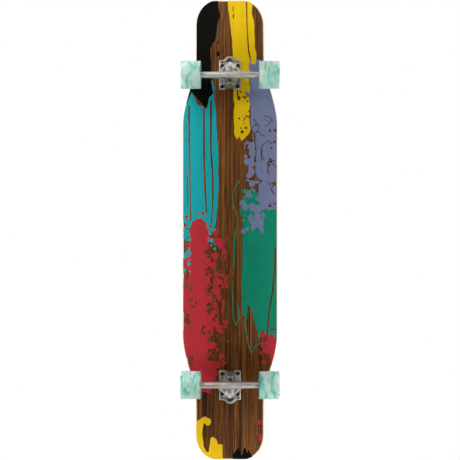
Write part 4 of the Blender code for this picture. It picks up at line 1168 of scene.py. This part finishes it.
def make_hardware(end, looks):
    """Countersunk truck bolts with a hex socket, and their locknuts."""
    radius = 2.4 * MM
    for number in range(1, 5):
        low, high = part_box(f"{end}_truck_bolt_{number}")
        centre = 0.5 * (low + high)
        top, bottom = high.z, low.z
        spot = Matrix.Translation((centre.x, centre.y, 0))
        profile = [(0, bottom), (1.9 * MM, bottom)]
        profile += thread_profile(radius, bottom + 0.3 * MM, top - 10 * MM, 0.8 * MM, 0.3 * MM)
        profile += [(radius, top - 9 * MM), (radius, top - 2.6 * MM), (4.4 * MM, top - 0.45 * MM),
                    (4.6 * MM, top - 0.3 * MM), (4.5 * MM, top - 0.05 * MM), (4.3 * MM, top), (0, top)]
        socket = moved(prism(hexagon(3.2 * MM), top - 2 * MM, top + MM), spot)
        bolt = combine(mesh_of(lathe(profile, 32, spot)), "DIFFERENCE", [socket])
        fit(end, f"deck_bolt_{number}", bolt, looks["black"], "black_steel", f"truck_bolt_{number}")
        low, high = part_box(f"{end}_truck_nut_{number}")
        centre = 0.5 * (low + high)
        turn = Matrix.Rotation(0.4 * number * ENDS[end], 4, "Z")
        nut = hex_solid(9.0 * MM, low.z + 1.4 * MM, high.z, 2.7 * MM, 36)
        nut = combine(nut, "UNION", [ring(2.9 * MM, 4.2 * MM, low.z, low.z + 2 * MM, 0.3 * MM, 36)])
        nut = in_place(nut, Matrix.Translation((centre.x, centre.y, 0)) @ turn)
        fit(end, f"deck_locknut_{number}", nut, looks["black"], "black_steel", f"truck_nut_{number}")


# Wheels ----------------------------------------------------------------------------------------

WHEEL_RADIUS, WHEEL_HALF, WHEEL_LIP = 35 * MM, 25.5 * MM, 1.6 * MM
WHEEL_MOUTH, WHEEL_SEAT, WHEEL_SHOULDER = 16.5 * MM, 11.3 * MM, 8.3 * MM
BEARING_NEAR, BEARING_FAR, BEARING_RADIUS = 5 * MM, 12 * MM, 11 * MM
SHIELD_DIP = 0.45 * MM


def tyre_profile():
    """The tyre's section: a flat tread, round lips, a dished face and a seat for each bearing."""
    corner_radius, corner_height = WHEEL_RADIUS - WHEEL_LIP, WHEEL_HALF - WHEEL_LIP
    half = [(WHEEL_RADIUS, 0), (WHEEL_RADIUS, 0.4 * WHEEL_HALF)]
    for turn in range(0, 91, 15):
        angle = math.radians(turn)
        half.append((corner_radius + WHEEL_LIP * math.cos(angle),
                     corner_height + WHEEL_LIP * math.sin(angle)))
    half += [(WHEEL_MOUTH + 6 * MM, WHEEL_HALF - 0.5 * MM), (WHEEL_MOUTH + 5 * MM, WHEEL_HALF - 1.0 * MM),
             (WHEEL_MOUTH + 1.0 * MM, WHEEL_HALF - 3.2 * MM), (WHEEL_MOUTH, WHEEL_HALF - 4.2 * MM),
             (WHEEL_SEAT + 1.8 * MM, 13.2 * MM), (WHEEL_SEAT + 0.5 * MM, 12.3 * MM), (WHEEL_SEAT, 11.9 * MM),
             (WHEEL_SEAT, 4.7 * MM), (WHEEL_SHOULDER, 4.7 * MM)]
    return half + [(radius, -height) for radius, height in reversed(half[1:])]


def make_wheel(end, hand, looks):
    """Urethane tyre with rounded lips, and its two shielded bearings."""
    body = f"{hand}_roller"
    centre = Vector(JOINTS[f"{end}_{hand}_spin"]["pos_m"])
    spot = Matrix.Translation(centre) @ Matrix.Rotation(-HANDS[hand] * math.pi / 2, 4, "X")
    tyre = mesh_of(lathe(tyre_profile(), 112))
    fit(end, f"{hand}_tyre", tyre, looks["wheel"], "wheel_urethane", f"{hand}_wheel", body, spot=spot)
    for place, low, high in (("outer", BEARING_NEAR, BEARING_FAR), ("inner", -BEARING_FAR, -BEARING_NEAR)):
        half_race = [(4.3 * MM, low), (6.1 * MM, low), (6.3 * MM, low + SHIELD_DIP),
                     (9.0 * MM, low + SHIELD_DIP), (9.2 * MM, low), (BEARING_RADIUS, low)]
        race = half_race + [(radius, low + high - height) for radius, height in reversed(half_race)]
        race = rounded(race + race[:1], 0.25 * MM, 2)[:-1]
        fit(end, f"{hand}_{place}_race", mesh_of(lathe(race, 64, spot)), looks["steel"], "bearing_steel",
            f"{hand}_{place}_bearing", body)
        for label, sign, level in (("out", 1, high - SHIELD_DIP), ("in", -1, low + SHIELD_DIP)):
            shield = ring(6.35 * MM, 8.95 * MM, level - 0.12 * MM, level + sign * 0.25 * MM, 0.1 * MM, 64,
                          spot, 2)
            fit(end, f"{hand}_{place}_shield_{label}", mesh_of(shield), looks["rubber"], "bearing_steel",
                body=body)


# Stage -----------------------------------------------------------------------------------------

CAMERA_DISTANCE = 2.0
FRAME_WIDTH = 1.212                   # across the view at the deck's underside
SENSOR_WIDTH = 36.0
FLOOR_REACH, FLOOR_DROP = 4.0, 0.0003
FLOOR_FADE_START, FLOOR_FADE_END = 1.0, 3.2
HORIZON_LIGHT, OVERHEAD_LIGHT = 0.25, 1.1
LIGHTS_AIM = (0, 0, 0.1)


def make_camera():
    """Straight at the underside, with the nose at the top of the frame."""
    camera = bpy.data.cameras.new("camera")
    camera.sensor_width = SENSOR_WIDTH
    camera.lens = SENSOR_WIDTH * CAMERA_DISTANCE / FRAME_WIDTH
    camera.clip_start, camera.clip_end = 0.05, 50.0
    made = bpy.data.objects.new("camera", camera)
    aim = Matrix(((0, 1, 0), (1, 0, 0), (0, 0, -1))).to_4x4()
    made.matrix_world = Matrix.Translation((0, 0, UNDERSIDE_Z - CAMERA_DISTANCE)) @ aim
    bpy.context.collection.objects.link(made)
    bpy.context.scene.camera = made


def make_floor():
    """A pale floor, seen from above only, that fades into the white round it."""
    bm = bmesh.new()
    for x, y in ((-1, -1), (1, -1), (1, 1), (-1, 1)):
        bm.verts.new((x * FLOOR_REACH, y * FLOOR_REACH, -FLOOR_DROP))
    bm.faces.new(bm.verts[:])
    floor = loose(mesh_of(bm, "floor"))
    floor.name = "floor"
    look = Look("floor", Roughness=0.85, Specular_IOR_Level=0.2)
    tone = look.mix(look.noise(look.place, 3, 3), (0.83, 0.83, 0.82), (0.86, 0.86, 0.85))
    material = look.wire(Base_Color=tone)
    clear = look.node("ShaderNodeBsdfTransparent").outputs[0]
    back = look.node("ShaderNodeNewGeometry").outputs["Backfacing"]
    shadow = look.node("ShaderNodeLightPath").outputs["Is Shadow Ray"]
    away = look.node("ShaderNodeVectorMath", {0: look.place}, operation="LENGTH").outputs["Value"]
    rim = look.grey(away, 0.0, 1.0, FLOOR_FADE_START, FLOOR_FADE_END)
    opened = look.math("MAXIMUM", rim, look.math("MAXIMUM", back, shadow))
    mixed = look.node("ShaderNodeMixShader", {0: opened, 1: look.shader.outputs[0], 2: clear}).outputs[0]
    output = next(node for node in look.tree.nodes if node.type == "OUTPUT_MATERIAL")
    look.tree.links.new(mixed, output.inputs[0])
    floor.data.materials.append(material)


def make_light(name, place, size, power):
    """A disk of light, aimed at the board."""
    light = bpy.data.lights.new(name, "AREA")
    light.shape = "DISK"
    light.size = size
    light.energy = power
    made = bpy.data.objects.new(name, light)
    made.location = place
    made.rotation_euler = (Vector(LIGHTS_AIM) - Vector(place)).to_track_quat("-Z", "Y").to_euler()
    made.visible_camera = False
    bpy.context.collection.objects.link(made)


def make_world():
    """Plain white behind everything; what it lights is brighter overhead than at the horizon."""
    world = bpy.data.worlds.new("studio")
    world.use_nodes = True
    tree = world.node_tree
    shown = tree.nodes["Background"]
    shown.inputs[0].default_value = (1, 1, 1, 1)
    lit = tree.nodes.new("ShaderNodeBackground")
    place = tree.nodes.new("ShaderNodeTexCoord")
    split = tree.nodes.new("ShaderNodeSeparateXYZ")
    fade = tree.nodes.new("ShaderNodeMapRange")
    tree.links.new(place.outputs["Generated"], split.inputs[0])
    tree.links.new(split.outputs[2], fade.inputs[0])
    for socket, value in zip(fade.inputs[1:5], (-0.1, 0.8, HORIZON_LIGHT, OVERHEAD_LIGHT)):
        socket.default_value = value
    tree.links.new(fade.outputs[0], lit.inputs[1])
    path = tree.nodes.new("ShaderNodeLightPath")
    mixed = tree.nodes.new("ShaderNodeMixShader")
    tree.links.new(path.outputs["Is Camera Ray"], mixed.inputs[0])
    tree.links.new(lit.outputs[0], mixed.inputs[1])
    tree.links.new(shown.outputs[0], mixed.inputs[2])
    tree.links.new(mixed.outputs[0], tree.nodes["World Output"].inputs[0])
    bpy.context.scene.world = world


def make_stage():
    """The floor, the world and the four lights."""
    make_floor()
    make_world()
    make_light("key_above", (1.2, -1.6, 2.4), 1.2, 60)
    make_light("fill_above", (-1.5, 1.6, 2.0), 1.6, 30)
    make_light("key_below", (1.5, -1.1, -1.7), 0.9, 22)
    make_light("fill_below", (-1.5, 1.1, -1.7), 0.9, 17)
    bpy.context.scene.view_settings.view_transform = "Standard"


# All together ----------------------------------------------------------------------------------

def truck_looks():
    """The materials of the trucks and wheels by short names."""
    return {
        "cast": cast_material("cast_hanger", (0.60, 0.585, 0.56), (0.80, 0.785, 0.75)),
        # Painted shade: the baseplate is the hanger's cast aluminium given a much darker colour, for the
        # shade it sits in between the hanger and the deck.
        "plate": cast_material("cast_baseplate_shaded", (0.25, 0.245, 0.235), (0.40, 0.39, 0.375)),
        "zinc": steel_material("zinc_steel", (0.86, 0.90, 0.92), (0.70, 0.74, 0.77), (0.74, 0.82, 0.86)),
        "steel": steel_material("bright_steel", (0.74, 0.74, 0.75), (0.58, 0.58, 0.60), (0.66, 0.66, 0.66)),
        "black": plain_material("black_steel", (0.012, 0.012, 0.013), (0.035, 0.034, 0.033), 0.4,
                                Metallic=0.6),
        "nylon": plain_material("nylon_collar", (0.70, 0.72, 0.70), (0.55, 0.57, 0.55), 0.45),
        "rubber": plain_material("black_rubber", (0.012, 0.012, 0.013), (0.030, 0.029, 0.028), 0.55),
        "bushing": plain_material("clear_urethane", (0.80, 0.79, 0.70), (0.66, 0.65, 0.56), 0.3,
                                  Subsurface_Weight=0.3, Subsurface_Scale=0.004),
        "wheel": wheel_material(),
    }


def build():
    """Makes the stage and every piece."""
    make_camera()
    make_stage()
    top = wood_material("veneer_top", (0.225, 0.084, 0.024), (0.132, 0.046, 0.012), (0.056, 0.018, 0.004),
                        0.42)
    under = wood_material("veneer_under", (0.190, 0.072, 0.018), (0.088, 0.031, 0.007), (0.024, 0.008, 0.002),
                          0.40)
    make_deck(top, ply_material(), under)
    make_grips(grip_material())
    make_print()
    looks = truck_looks()
    hanger, baseplate = hanger_mesh(), baseplate_mesh()
    for end in ENDS:
        fit(end, "hanger_casting", in_place(hanger, steer_frame(end)), looks["cast"], "cast_aluminium",
            "hanger", "axle_set")
        fit(end, "baseplate_casting", in_place(baseplate, truck_frame(end)), looks["plate"], "cast_aluminium",
            "baseplate")
        make_kingpin_stack(end, looks)
        make_nuts(end, looks)
        make_axle(end, looks)
        make_hardware(end, looks)
        for hand in HANDS:
            make_wheel(end, hand, looks)


build()
